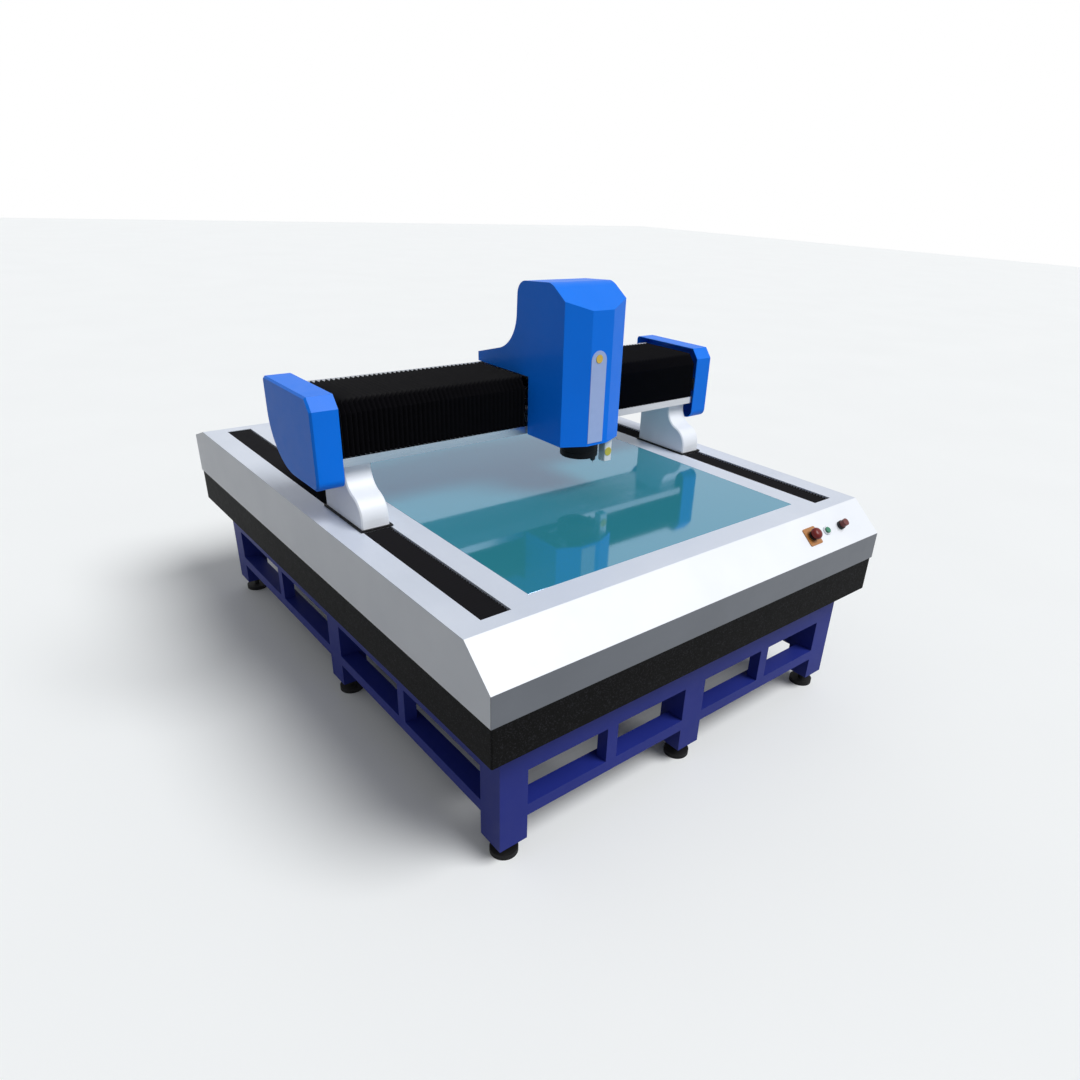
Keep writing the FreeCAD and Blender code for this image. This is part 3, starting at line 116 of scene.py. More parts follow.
# ---- finishes ------------------------------------------------------------------------------------
@dataclass(frozen=True)
class Finish:
    """What every finish states: its maker's name, colour and plain surface values."""

    name: str
    colour: str
    roughness: float = 0.5
    metallic: float = 0.0
    gloss: float = 0.5

    def build(self) -> bpy.types.Material:
        """Makes the material.

        Returns:
            The finished material.
        """
        material = bpy.data.materials.new(self.name)
        material.use_nodes = True
        tree = material.node_tree
        shader = tree.nodes["Principled BSDF"]
        shader.inputs["Base Color"].default_value = linear(self.colour)
        shader.inputs["Roughness"].default_value = self.roughness
        shader.inputs["Metallic"].default_value = self.metallic
        shader.inputs["Specular IOR Level"].default_value = self.gloss
        position = add(tree, "ShaderNodeTexCoord").outputs["Object"]
        self.texture(tree, shader, position)
        return material

    def texture(self, tree: bpy.types.NodeTree, shader: bpy.types.Node, position: bpy.types.NodeSocket) -> None:
        """Adds the pattern; the plain finish has none.

        Args:
            tree: Node tree of the material.
            shader: Its Principled shader.
            position: Socket that gives the place on the object.
        """

    def shades(self, tree: bpy.types.NodeTree, shader: bpy.types.Node, factor: bpy.types.NodeSocket,
               dark: str) -> None:
        """Lets the base colour wander between the finish's colour and a darker one.

        Args:
            tree: Node tree of the material.
            shader: Its Principled shader.
            factor: Socket from 0 (own colour) to 1 (dark).
            dark: The darker colour, sRGB hex.
        """
        mix = add(tree, "ShaderNodeMix", {"Factor": factor, 6: linear(self.colour), 7: linear(dark)},
                  data_type="RGBA")
        tree.links.new(mix.outputs[2], shader.inputs["Base Color"])

    def relief(self, tree: bpy.types.NodeTree, shader: bpy.types.Node, height: bpy.types.NodeSocket,
               depth_mm: float, strength: float = 1.0) -> None:
        """Raises the surface by a height pattern.

        Args:
            tree: Node tree of the material.
            shader: Its Principled shader.
            height: Socket from 0 to 1.
            depth_mm: Height of the relief.
            strength: Share of the relief that shows.
        """
        bump = add(tree, "ShaderNodeBump", {"Height": height, "Distance": depth_mm * MM, "Strength": strength})
        tree.links.new(bump.outputs["Normal"], shader.inputs["Normal"])

    def polish(self, tree: bpy.types.NodeTree, shader: bpy.types.Node, factor: bpy.types.NodeSocket,
               spread: float) -> None:
        """Lets the roughness wander round the finish's own value.

        Args:
            tree: Node tree of the material.
            shader: Its Principled shader.
            factor: Socket from 0 to 1.
            spread: Half of the whole range.
        """
        rough = add(tree, "ShaderNodeMapRange", {"Value": factor, "To Min": self.roughness - spread,
                                                 "To Max": self.roughness + spread})
        tree.links.new(rough.outputs["Result"], shader.inputs["Roughness"])


@dataclass(frozen=True)
class PowderCoat(Finish):
    """Powder-coated steel: satin, with the fine orange peel of baked powder and faint handling marks."""

    shade: str = "000000"
    peel_mm: float = 2.5
    peel_depth_mm: float = 0.05
    drift_mm: float = 260.0
    marks_mm: float = 40.0

    def texture(self, tree: bpy.types.NodeTree, shader: bpy.types.Node, position: bpy.types.NodeSocket) -> None:
        """Adds orange peel, uneven sheen and a slow drift of tone."""
        peel = add(tree, "ShaderNodeTexNoise", {"Vector": position, "Scale": grain(self.peel_mm), "Detail": 2.0})
        self.relief(tree, shader, peel.outputs["Fac"], self.peel_depth_mm)
        drift = add(tree, "ShaderNodeTexNoise", {"Vector": position, "Scale": grain(self.drift_mm), "Detail": 3.0})
        tone = add(tree, "ShaderNodeMapRange", {"Value": drift.outputs["Fac"], "From Min": 0.35,
                                                "From Max": 0.75, "To Max": 0.5})
        self.shades(tree, shader, tone.outputs["Result"], self.shade)
        marks = add(tree, "ShaderNodeTexNoise", {"Vector": position, "Scale": grain(self.marks_mm), "Detail": 5.0})
        self.polish(tree, shader, marks.outputs["Fac"], 0.07)


@dataclass(frozen=True)
class Lacquer(PowderCoat):
    """Sprayed lacquer over primed sheet: like the powder coat, with a thin clear layer."""

    def texture(self, tree: bpy.types.NodeTree, shader: bpy.types.Node, position: bpy.types.NodeSocket) -> None:
        """Adds the clear coat to the paint."""
        super().texture(tree, shader, position)
        shader.inputs["Coat Weight"].default_value = 0.12
        shader.inputs["Coat Roughness"].default_value = 0.2


@dataclass(frozen=True)
class BlackGranite(Finish):
    """Ground black granite: dense dark stone with small grey feldspar grains and a satin lap finish."""

    grains: str = "2C2C30"
    # Real grains are about 1 mm; drawn at 3 mm so that they show.
    grain_mm: float = 3.0
    lap_mm: float = 18.0

    def texture(self, tree: bpy.types.NodeTree, shader: bpy.types.Node, position: bpy.types.NodeSocket) -> None:
        """Scatters grey grains and lets the lapping vary."""
        cells = add(tree, "ShaderNodeTexVoronoi", {"Vector": position, "Scale": grain(self.grain_mm)})
        bright = add(tree, "ShaderNodeSeparateColor", {"Color": cells.outputs["Color"]})
        rare = add(tree, "ShaderNodeMapRange", {"Value": bright.outputs["Red"], "From Min": 0.7, "From Max": 1.0,
                                                "To Max": 0.7})
        self.shades(tree, shader, rare.outputs["Result"], self.grains)
        lap = add(tree, "ShaderNodeTexNoise", {"Vector": position, "Scale": grain(self.lap_mm), "Detail": 4.0})
        self.polish(tree, shader, lap.outputs["Fac"], 0.06)


@dataclass(frozen=True)
class CutMetal(Finish):
    """Milled, ground or brushed metal: fine lines along one axis break up its reflections."""

    shade: str = "808488"
    along: int = 0
    line_mm: float = 0.8
    line_length_mm: float = 120.0

    def texture(self, tree: bpy.types.NodeTree, shader: bpy.types.Node, position: bpy.types.NodeSocket) -> None:
        """Draws tool lines by stretching a noise along the cut."""
        scale = [grain(self.line_mm)] * 3
        scale[self.along] = grain(self.line_length_mm)
        stretched = add(tree, "ShaderNodeVectorMath", {0: position, 1: scale}, operation="MULTIPLY")
        lines = add(tree, "ShaderNodeTexNoise", {"Vector": stretched.outputs["Vector"], "Scale": 1.0,
                                                 "Detail": 2.0})
        self.shades(tree, shader, lines.outputs["Fac"], self.shade)
        self.polish(tree, shader, lines.outputs["Fac"], 0.08)
        self.relief(tree, shader, lines.outputs["Fac"], 0.02)


@dataclass(frozen=True)
class MouldedPlastic(Finish):
    """Injection-moulded ABS or polycarbonate: spark-eroded grain on a soft satin surface."""

    shade: str = "101012"
    grit_mm: float = 0.8
    wear_mm: float = 22.0

    def texture(self, tree: bpy.types.NodeTree, shader: bpy.types.Node, position: bpy.types.NodeSocket) -> None:
        """Adds the mould's grain and slight wear of the sheen."""
        grit = add(tree, "ShaderNodeTexNoise", {"Vector": position, "Scale": grain(self.grit_mm), "Detail": 2.0})
        self.relief(tree, shader, grit.outputs["Fac"], 0.03)
        wear = add(tree, "ShaderNodeTexNoise", {"Vector": position, "Scale": grain(self.wear_mm), "Detail": 4.0})
        self.shades(tree, shader, wear.outputs["Fac"], self.shade)
        self.polish(tree, shader, wear.outputs["Fac"], 0.08)


@dataclass(frozen=True)
class CoatedCloth(Finish):
    """Polyurethane-coated polyester of machine bellows: fine weave under a dull film."""

    shade: str = "141318"
    thread_mm: float = 1.6
    dust_mm: float = 30.0

    def texture(self, tree: bpy.types.NodeTree, shader: bpy.types.Node, position: bpy.types.NodeSocket) -> None:
        """Weaves crossed threads and dusts the cloth."""
        threads = [add(tree, "ShaderNodeTexWave", {"Vector": position, "Scale": grain(self.thread_mm) / 10},
                       bands_direction=axis) for axis in ("X", "Z")]
        weave = add(tree, "ShaderNodeMath", {0: threads[0].outputs["Fac"], 1: threads[1].outputs["Fac"]},
                    operation="MULTIPLY")
        self.relief(tree, shader, weave.outputs["Value"], 0.08)
        dust = add(tree, "ShaderNodeTexNoise", {"Vector": position, "Scale": grain(self.dust_mm), "Detail": 5.0})
        self.shades(tree, shader, dust.outputs["Fac"], self.shade)
        self.polish(tree, shader, dust.outputs["Fac"], 0.08)
        shader.inputs["Sheen Weight"].default_value = 0.01
        shader.inputs["Sheen Roughness"].default_value = 0.4


@dataclass(frozen=True)
class FloatGlass(Finish):
    """Thick float glass: green-blue in its depth, polished, with faint wiping smears."""

    # Kept low, so that the fittings under the pane don't pale it.
    clear: float = 0.08
    # Plain glass is 1.52. This value is chosen for the pane's strong mirroring, and isn't a measured one.
    mirror_index: float = 2.8
    # Bluish tint of the pane's mirroring: a painted reflection of pale blue surroundings, not a colour of the glass.
    painted_reflection_tint: str = "BCD6FF"
    smear_mm: float = 90.0

    def texture(self, tree: bpy.types.NodeTree, shader: bpy.types.Node, position: bpy.types.NodeSocket) -> None:
        """Sets the glass's depth, tints its mirroring with a painted bluish reflection and adds the smears."""
        shader.inputs["Transmission Weight"].default_value = self.clear
        shader.inputs["IOR"].default_value = self.mirror_index
        shader.inputs["Specular Tint"].default_value = linear(self.painted_reflection_tint)
        smear = add(tree, "ShaderNodeTexNoise", {"Vector": position, "Scale": grain(self.smear_mm), "Detail": 6.0})
        self.polish(tree, shader, smear.outputs["Fac"], 0.03)


class Paint:
    """Every finish of the machine, by its maker's name."""

    WHITE = PowderCoat("white_powder_coat", "EEF2F8", 0.42, shade="DDE2EA")
    DECK = PowderCoat("deck_powder_coat", "D3DAE6", 0.4, shade="C2CAD8")
    SKIRT = PowderCoat("grey_powder_coat", "6E737B", 0.4, shade="5E636B")
    STAND = PowderCoat("stand_blue_powder_coat", "232F86", 0.5, gloss=0.2, shade="1D2872")
    BLUE = Lacquer("bright_blue_lacquer", "0078F0", 0.5, gloss=0.12, shade="0070E4")
    GRANITE = BlackGranite("ground_black_granite", "080808", 0.6, gloss=0.06)
    GLASS = FloatGlass("stage_float_glass", "348F9F", 0.06)
    RAIL = CutMetal("ground_rail_steel", "B9BDC4", 0.28, 1.0, shade="9A9EA6", along=1)
    MACHINED = CutMetal("machined_aluminium", "C3C6CB", 0.36, 1.0, shade="A6AAB0")
    STRIP = CutMetal("satin_anodised_aluminium", "D8DBE0", 0.3, 1.0, shade="BFC3CA", line_mm=1.5)
    BLACK_ANODISED = CutMetal("black_anodised_aluminium", "0E0F11", 0.5, 0.4, gloss=0.2, shade="0A0A0B", along=2)
    CHROME = CutMetal("polished_probe_steel", "D2D4D8", 0.12, 1.0, shade="C2C4C8", along=2, line_mm=0.4)
    CLOTH = CoatedCloth("bellows_coated_cloth", "0C0C0F", 0.6, gloss=0.1)
    RUBBER = MouldedPlastic("black_rubber", "101011", 0.72, gloss=0.25, shade="18181A", grit_mm=1.5)
    PLASTIC = MouldedPlastic("black_abs", "121214", 0.5, gloss=0.35, shade="1A1A1D")
    FROSTED = MouldedPlastic("frosted_acrylic", "E2E6EA", 0.5, shade="D6DADF")
    LENS = MouldedPlastic("coated_lens_glass", "141420", 0.08, shade="1C1A30", grit_mm=8.0)
    EPOXY = MouldedPlastic("magnet_epoxy", "3A3A3E", 0.55, shade="2E2E32")
    LABEL = MouldedPlastic("label_film", "A5B9E6", 0.35, shade="9CB0DE", grit_mm=2.0)
    BRASS = CutMetal("satin_brass", "D2B45A", 0.3, 1.0, shade="BEA048", line_mm=0.5)
    YELLOW = MouldedPlastic("yellow_abs", "C8BE48", 0.35, shade="B8AE3C")
    STOP_PLATE = MouldedPlastic("stop_plate_enamel", "B4783A", 0.4, shade="A06830")
    STOP_RED = MouldedPlastic("stop_red_polycarbonate", "741009", 0.3, gloss=0.3, shade="640D08")
    GREEN = MouldedPlastic("green_polycarbonate", "2E8A68", 0.25, shade="28785A")
    DARK_RED = MouldedPlastic("dark_red_abs", "6A1C1A", 0.35, shade="5A1614")
    WHITE_PLASTIC = MouldedPlastic("white_abs", "E6E8EA", 0.4, shade="D8DADC")


NODE_FINISHES = {
    "stand_legs": Paint.STAND, "stand_top_rails": Paint.STAND, "stand_lower_frame": Paint.STAND,
    "levelling_feet": Paint.RUBBER, "granite_base": Paint.GRANITE, "y_rails": Paint.RAIL,
    "y_magnet_tracks": Paint.EPOXY, "y_bumpers": Paint.RUBBER, "side_panels": Paint.WHITE,
    "front_skirt": Paint.SKIRT, "front_apron": Paint.WHITE, "rear_panel": Paint.WHITE, "deck_rim": Paint.DECK,
    "deck_inner": Paint.DECK, "cover_brackets": Paint.MACHINED, "stage_frame": Paint.MACHINED,
    "stage_glass": Paint.GLASS, "motion_controller": Paint.BLACK_ANODISED, "estop_plate": Paint.STOP_PLATE,
    "control_bodies": Paint.PLASTIC, "slot_bellows_front": Paint.CLOTH, "slot_bellows_rear": Paint.CLOTH,
    "bridge_legs": Paint.WHITE, "foot_plates": Paint.MACHINED, "foot_wipers": Paint.RUBBER,
    "y_bearing_blocks": Paint.RAIL, "y_forcers": Paint.PLASTIC, "lower_crossbeam": Paint.MACHINED,
    "bridge_beam": Paint.MACHINED, "beam_end_plates": Paint.MACHINED, "end_caps": Paint.BLUE,
    "beam_strip": Paint.STRIP, "beam_rear_cover": Paint.WHITE, "x_rails": Paint.RAIL,
    "x_magnet_track": Paint.EPOXY, "beam_bellows_left": Paint.CLOTH, "beam_bellows_right": Paint.CLOTH,
    "x_bearing_blocks": Paint.RAIL, "x_forcer": Paint.PLASTIC, "x_saddle": Paint.MACHINED,
    "head_cover": Paint.BLUE, "label_strip": Paint.LABEL, "label_badge": Paint.BRASS, "z_rails": Paint.RAIL,
    "z_motor": Paint.BLACK_ANODISED, "z_slide": Paint.MACHINED, "z_bearing_blocks": Paint.RAIL,
    "z_nut": Paint.RAIL, "zoom_lens": Paint.BLACK_ANODISED, "camera": Paint.BLACK_ANODISED,
    "ring_light": Paint.BLACK_ANODISED, "touch_probe": Paint.CHROME, "laser_module": Paint.WHITE_PLASTIC,
    "laser_cap": Paint.YELLOW, "z_screw": Paint.RAIL, "backlight": Paint.BLACK_ANODISED,
    "estop_stem": Paint.PLASTIC, "estop_mushroom": Paint.STOP_RED, "start_button": Paint.GREEN,
    "power_switch_knob": Paint.DARK_RED,
}


class Workshop:
    """Keeps each finish's material once, and dresses pieces with it."""

    def __init__(self) -> None:
        """Starts with no materials made."""
        self.made: dict[str, bpy.types.Material] = {}

    def material(self, finish: Finish) -> bpy.types.Material:
        """Gives the material of a finish, made the first time it is asked for.

        Args:
            finish: The finish.

        Returns:
            Its material.
        """
        if finish.name not in self.made:
            self.made[finish.name] = finish.build()
        return self.made[finish.name]

    def dress(self, piece: bpy.types.Object, finish: Finish) -> None:
        """Puts one finish on a whole piece.

        Args:
            piece: The mesh object.
            finish: What it is made of.
        """
        piece.data.materials.clear()
        piece.data.materials.append(self.material(finish))

    def dress_nodes(self) -> None:
        """Gives every CAD node its finish."""
        for name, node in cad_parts.items():
            self.dress(node, NODE_FINISHES[name])
            LOG.info("dressed %s in %s", name, NODE_FINISHES[name].name)


# ---- mesh helper ---------------------------------------------------------------------------------
def mesh_piece(name: str, points: list[Vector], faces: list[list[int]]) -> bpy.types.Object:
    """Makes a mesh object and links it.

    Args:
        name: The piece's name.
        points: Its vertices in metres, in the machine's frame.
        faces: Vertex numbers of each face.

    Returns:
        The new object.
    """
    mesh = bpy.data.meshes.new(name)
    mesh.from_pydata([tuple(p) for p in points], [], faces)
    builder = bmesh.new()
    builder.from_mesh(mesh)
    bmesh.ops.recalc_face_normals(builder, faces=builder.faces)
    builder.to_mesh(mesh)
    builder.free()
    piece = bpy.data.objects.new(name, mesh)
    bpy.context.scene.collection.objects.link(piece)
    return piece


# ---- bellows -------------------------------------------------------------------------------------
@dataclass
class Bellows:
    """Folded cloth bellows between two bodies, cut into sections that share the stretch evenly.
    """

    name: str
    node: str
    slot: str
    still: str
    moving: str
    way: Way
    fixed_end: float = 0.0
    moving_end: float = 1.0
    pleats: int = 40
    shares: tuple[int, ...] = (1, 2, 4, 6)

    def ring(self, section: Section, place: float, crest: bool) -> list[Vector]:
        """Gives the outline of the cloth at one fold.

        Args:
            section: The cloth's section at the origin.
            place: Where the fold lies, in metres.
            crest: Whether the fold stands out.

        Returns:
            The outline's points.
        """
        shift = Vector((place, 0, 0)) if self.way is Way.ALONG_BEAM else Vector((0, place, 0))
        return [p + shift for p in section(crest)]

    def cuts(self) -> list[int]:
        """Lists the pleats at which one section ends and the next begins.

        Returns:
            Pleat numbers from 0 to the last.
        """
        first = [0]
        for step in self.shares:
            first.append(first[-1] + step)
        return first + [self.pleats - k for k in reversed(first)]

    def build(self, sections: list[Section], workshop: Workshop) -> None:
        """Makes and dresses all the sections.

        Args:
            sections: One section for each loose strip of cloth.
            workshop: Where the finishes are kept.
        """
        cuts = self.cuts()
        span = self.moving_end - self.fixed_end
        for number, (low, high) in enumerate(zip(cuts, cuts[1:])):
            points: list[Vector] = []
            faces: list[list[int]] = []
            for strip in sections:
                base = len(points)
                count = len(strip(True))
                folds = range(2 * low, 2 * high + 1)
                for fold in folds:
                    place = self.fixed_end + span * fold / (2 * self.pleats)
                    points += self.ring(strip, place, fold % 2 == 1)
                for k in range(len(folds) - 1):
                    for i in range(count):
                        a = base + k * count + i
                        b = base + k * count + (i + 1) % count
                        faces.append([a, b, b + count, a + count])
                faces.append([base + i for i in range(count)])
                faces.append([base + (len(folds) - 1) * count + i for i in range(count)])
            piece = mesh_piece(f"{self.name}_{number + 1:02d}", points, faces)
            workshop.dress(piece, Paint.CLOTH)
            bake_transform(piece)
            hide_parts(self.node)
        LOG.info("made %s in %d sections", self.name, len(cuts) - 1)


@dataclass
class BeamBellows:
    """The two bellows of the bridge beam: over its top, round a bevel and down its front."""

    bevel_run_mm: float = 28.0
    bevel_drop_mm: float = 36.0
    fold_mm: float = 18.0
    cloth_mm: float = 1.2
    pitch_mm: float = 15.8

    def outline(self, crest: bool) -> list[Vector]:
        """Gives the cloth's section across the beam.

        Args:
            crest: True at an outer fold, False at an inner one.

        Returns:
            Outer path and inner path, as one closed outline.
        """
        low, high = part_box("beam_bellows_left")
        run, drop = self.bevel_run_mm * MM, self.bevel_drop_mm * MM
        slope = math.hypot(run, drop)
        inset = 0.0 if crest else (self.fold_mm - self.cloth_mm) * MM
        paths = []
        for step in (inset, inset + self.cloth_mm * MM):
            paths.append([Vector((0, high.y, high.z - step)),
                          Vector((0, low.y + run + step * (slope - run) / drop, high.z - step)),
                          Vector((0, low.y + step, high.z - drop - step * (slope - drop) / run)),
                          Vector((0, low.y + step, low.z))])
        return paths[0] + paths[1][::-1]

    def build(self, workshop: Workshop) -> None:
        """Makes both bellows.

        Args:
            workshop: Where the finishes are kept.
        """
        for side, fixed, moving in (("left", 0, 1), ("right", 1, 0)):
            node = f"beam_bellows_{side}"
            ends = [corner.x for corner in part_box(node)]
            length = abs(ends[1] - ends[0])
            Bellows(f"beam_folds_{side}", node, "bellows_fabric", "bridge", "head", Way.ALONG_BEAM,
                    fixed_end=ends[fixed], moving_end=ends[moving], pleats=round(length / (self.pitch_mm * MM)),
                    shares=(1, 1, 2, 4, 6)).build([self.outline], workshop)


@dataclass
class SlotBellows:
    """Flat bellows in both deck slots, before and behind the bridge's feet."""

    inner_mm: float = 635.0
    cloth_mm: float = 1.2
    # The front cloth needs closer folds, to hold enough length for the bridge's longer way back.
    front_pitch_mm: float = 12.0
    rear_pitch_mm: float = 15.0

    def strips(self, node: str) -> list[Section]:
        """Gives one outline function for each slot.

        Args:
            node: The CAD bellows whose place they take.

        Returns:
            Functions from a fold's state to its outline.
        """
        low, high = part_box(node)
        inner = self.inner_mm * MM
        depth = high.z - low.z - self.cloth_mm * MM

        def strip(side: int) -> Section:
            """Makes the outline function of one slot.

            Args:
                side: -1 for the left slot, 1 for the right one.

            Returns:
                The outline function.
            """
            def outline(crest: bool) -> list[Vector]:
                """Gives the cloth's section across the slot.

                Args:
                    crest: True at an upper fold.

                Returns:
                    Its four corners.
                """
                top = high.z if crest else high.z - depth
                bottom = top - self.cloth_mm * MM
                return [Vector((side * inner, 0, top)), Vector((side * high.x, 0, top)),
                        Vector((side * high.x, 0, bottom)), Vector((side * inner, 0, bottom))]
            return outline

        return [strip(-1), strip(1)]

    def build(self, workshop: Workshop) -> None:
        """Makes the front and the rear bellows of both slots.

        Args:
            workshop: Where the finishes are kept.
        """
        for end, fixed, moving, pitch in (("front", 0, 1, self.front_pitch_mm), ("rear", 1, 0, self.rear_pitch_mm)):
            node = f"slot_bellows_{end}"
            ends = [corner.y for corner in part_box(node)]
            length = abs(ends[1] - ends[0])
            Bellows(f"slot_folds_{end}", node, "bellows_fabric", "base", "bridge", Way.ALONG_SLOT,
                    fixed_end=ends[fixed], moving_end=ends[moving], pleats=round(length / (pitch * MM)),
                    shares=(1, 1, 2, 3, 5, 8)).build(self.strips(node), workshop)


# ---- turned and folded pieces --------------------------------------------------------------------
def turned(name: str, profile: list[tuple[float, float]], centre: Vector, axis: Vector = Vector((0, 0, 1)),
           steps: int = 72, closed: bool = False) -> bpy.types.Object:
    """Turns a profile about an axis.

    Args:
        name: The piece's name.
        profile: Radius and height pairs in millimetres, from the axis at the bottom to the axis at the top.
        centre: Where the axis starts, in metres.
        axis: Direction of the axis.
        steps: Sides of the full turn.
        closed: Joins the last point back to the first, for rings.

    Returns:
        The new object, smooth but for its corners.
    """
    turn = Vector((0, 0, 1)).rotation_difference(axis).to_matrix()
    points, rows = [], []
    for radius, height in profile:
        row = []
        count = 1 if radius < 1e-6 else steps
        for k in range(count):
            angle = 2 * math.pi * k / count
            local = Vector((radius * math.cos(angle), radius * math.sin(angle), height)) * MM
            row.append(len(points))
            points.append(centre + turn @ local)
        rows.append(row)
    pairs = list(zip(rows, rows[1:])) + ([(rows[-1], rows[0])] if closed else [])
    faces = []
    for low, high in pairs:
        for k in range(steps):
            corners = [low[k % len(low)], low[(k + 1) % len(low)], high[(k + 1) % len(high)], high[k % len(high)]]
            faces.append(list(dict.fromkeys(corners)))
    piece = mesh_piece(name, points, faces)
    for polygon in piece.data.polygons:
        polygon.use_smooth = True
    piece.data.set_sharp_from_angle(angle=math.radians(32))
    return piece


@dataclass
class OpticsHead:
    """What hangs below the head cover: ring light, touch probe and laser pointer."""

    ring_radius_mm: float = 63.0
    probe_offset_mm: tuple[float, float] = (35.0, -33.0)
    laser_offset_mm: tuple[float, float] = (86.0, -37.0)
    laser_size_mm: float = 32.0
    cap_radius_mm: float = 14.5

    def axis(self) -> Vector:
        """Gives the optical axis at the ring light's lower face."""
        low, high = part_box("ring_light")
        return Vector(((low.x + high.x) / 2, (low.y + high.y) / 2, low.z))

    def ring(self, workshop: Workshop) -> None:
        """Makes the ring light: black dish with a groove round it, frosted ring inside and lens front.

        Args:
            workshop: Where the finishes are kept.
        """
        r = self.ring_radius_mm
        dish = [(33, 0), (r - 2, 0), (r, 2), (r, 18), (r - 1, 19), (r - 1, 22), (r, 23), (r, 48), (r - 4, 52),
                (20.2, 52), (20.2, 46), (r - 12, 46), (r - 6, 8), (34, 8)]
        housing = turned("ring_light_housing", dish, self.axis(), closed=True, steps=96)
        frost = turned("ring_light_diffuser", [(34, 2), (r - 7, 2), (r - 9, 5), (36, 5)], self.axis(), closed=True)
        front = turned("lens_front", [(0, 20), (17, 20), (19, 22), (19, 26), (0, 30)], self.axis(), steps=48)
        for piece, finish in ((housing, Paint.BLACK_ANODISED), (frost, Paint.FROSTED), (front, Paint.LENS)):
            workshop.dress(piece, finish)
            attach(piece, "optics")
        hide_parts("ring_light")

    def probe(self, workshop: Workshop) -> None:
        """Makes the touch probe: dark socket and body with a steel stylus.

        Args:
            workshop: Where the finishes are kept.
        """
        low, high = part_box("touch_probe")
        centre = self.axis() + Vector((self.probe_offset_mm[0] * MM, self.probe_offset_mm[1] * MM, 0))
        centre.z = low.z
        rise = (high.z - low.z) / MM
        body = turned("probe_body", [(0, 7), (3.4, 7), (6, 9), (9, 13), (9, rise - 7), (10, rise - 6),
                                     (10, rise + 1), (0, rise + 1)], centre, steps=40)
        stylus = turned("probe_stylus", [(0, 0), (0.9, 0.3), (1.8, 1.2), (1.8, 2.6), (0.9, 3.5), (0.9, 8), (0, 8)],
                        centre, steps=24)
        workshop.dress(body, Paint.PLASTIC)
        workshop.dress(stylus, Paint.CHROME)
        for piece in (body, stylus):
            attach(piece, "optics")
        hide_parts("touch_probe")

    def laser(self, workshop: Workshop) -> None:
        """Makes the laser pointer: rounded white box with a plain yellow disc on its front.

        Args:
            workshop: Where the finishes are kept.
        """
        low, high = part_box("laser_module")
        x, y = self.axis().x + self.laser_offset_mm[0] * MM, self.axis().y + self.laser_offset_mm[1] * MM
        half, r = self.laser_size_mm / 2 * MM, 4 * MM
        corners = []
        for sx, sy, start in ((1, 1, 0), (-1, 1, 90), (-1, -1, 180), (1, -1, 270)):
            for k in range(5):
                angle = math.radians(start + k * 22.5)
                corners.append((x + sx * (half - r) + r * math.cos(angle),
                                y + sy * (half - r) + r * math.sin(angle)))
        count = len(corners)
        levels = ((low.z, 0.94), (low.z + 1.5 * MM, 1.0), (high.z, 1.0))
        points = [Vector((x + (cx - x) * k, y + (cy - y) * k, z)) for z, k in levels for cx, cy in corners]
        faces = [[base + i, base + (i + 1) % count, base + count + (i + 1) % count, base + count + i]
                 for base in (0, count) for i in range(count)]
        faces += [list(range(count)), list(range(2 * count, 3 * count))]
        box = mesh_piece("laser_box", points, faces)
        disc = turned("laser_disc", [(0, 0), (self.cap_radius_mm, 0), (self.cap_radius_mm, 1),
                                     (self.cap_radius_mm - 0.6, 1.5), (0, 1.5)],
                      Vector((x - 1 * MM, y - half, low.z + 0.034)), Vector((0, -1, 0)), steps=40)
        nozzle = turned("laser_window", [(0, 0), (5, 0), (6, 1), (6, 2.5), (0, 2.5)],
                        Vector((x, y, low.z - 0.0005)), steps=32)
        for piece, finish in ((box, Paint.WHITE_PLASTIC), (disc, Paint.YELLOW), (nozzle, Paint.PLASTIC)):
            workshop.dress(piece, finish)
            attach(piece, "optics")
        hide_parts("laser_module")
        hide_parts("laser_cap")

    def build(self, workshop: Workshop) -> None:
        """Makes all of it.

        Args:
            workshop: Where the finishes are kept.
        """
        self.ring(workshop)
        self.probe(workshop)
        self.laser(workshop)
        LOG.info("made the ring light, touch probe and laser pointer")


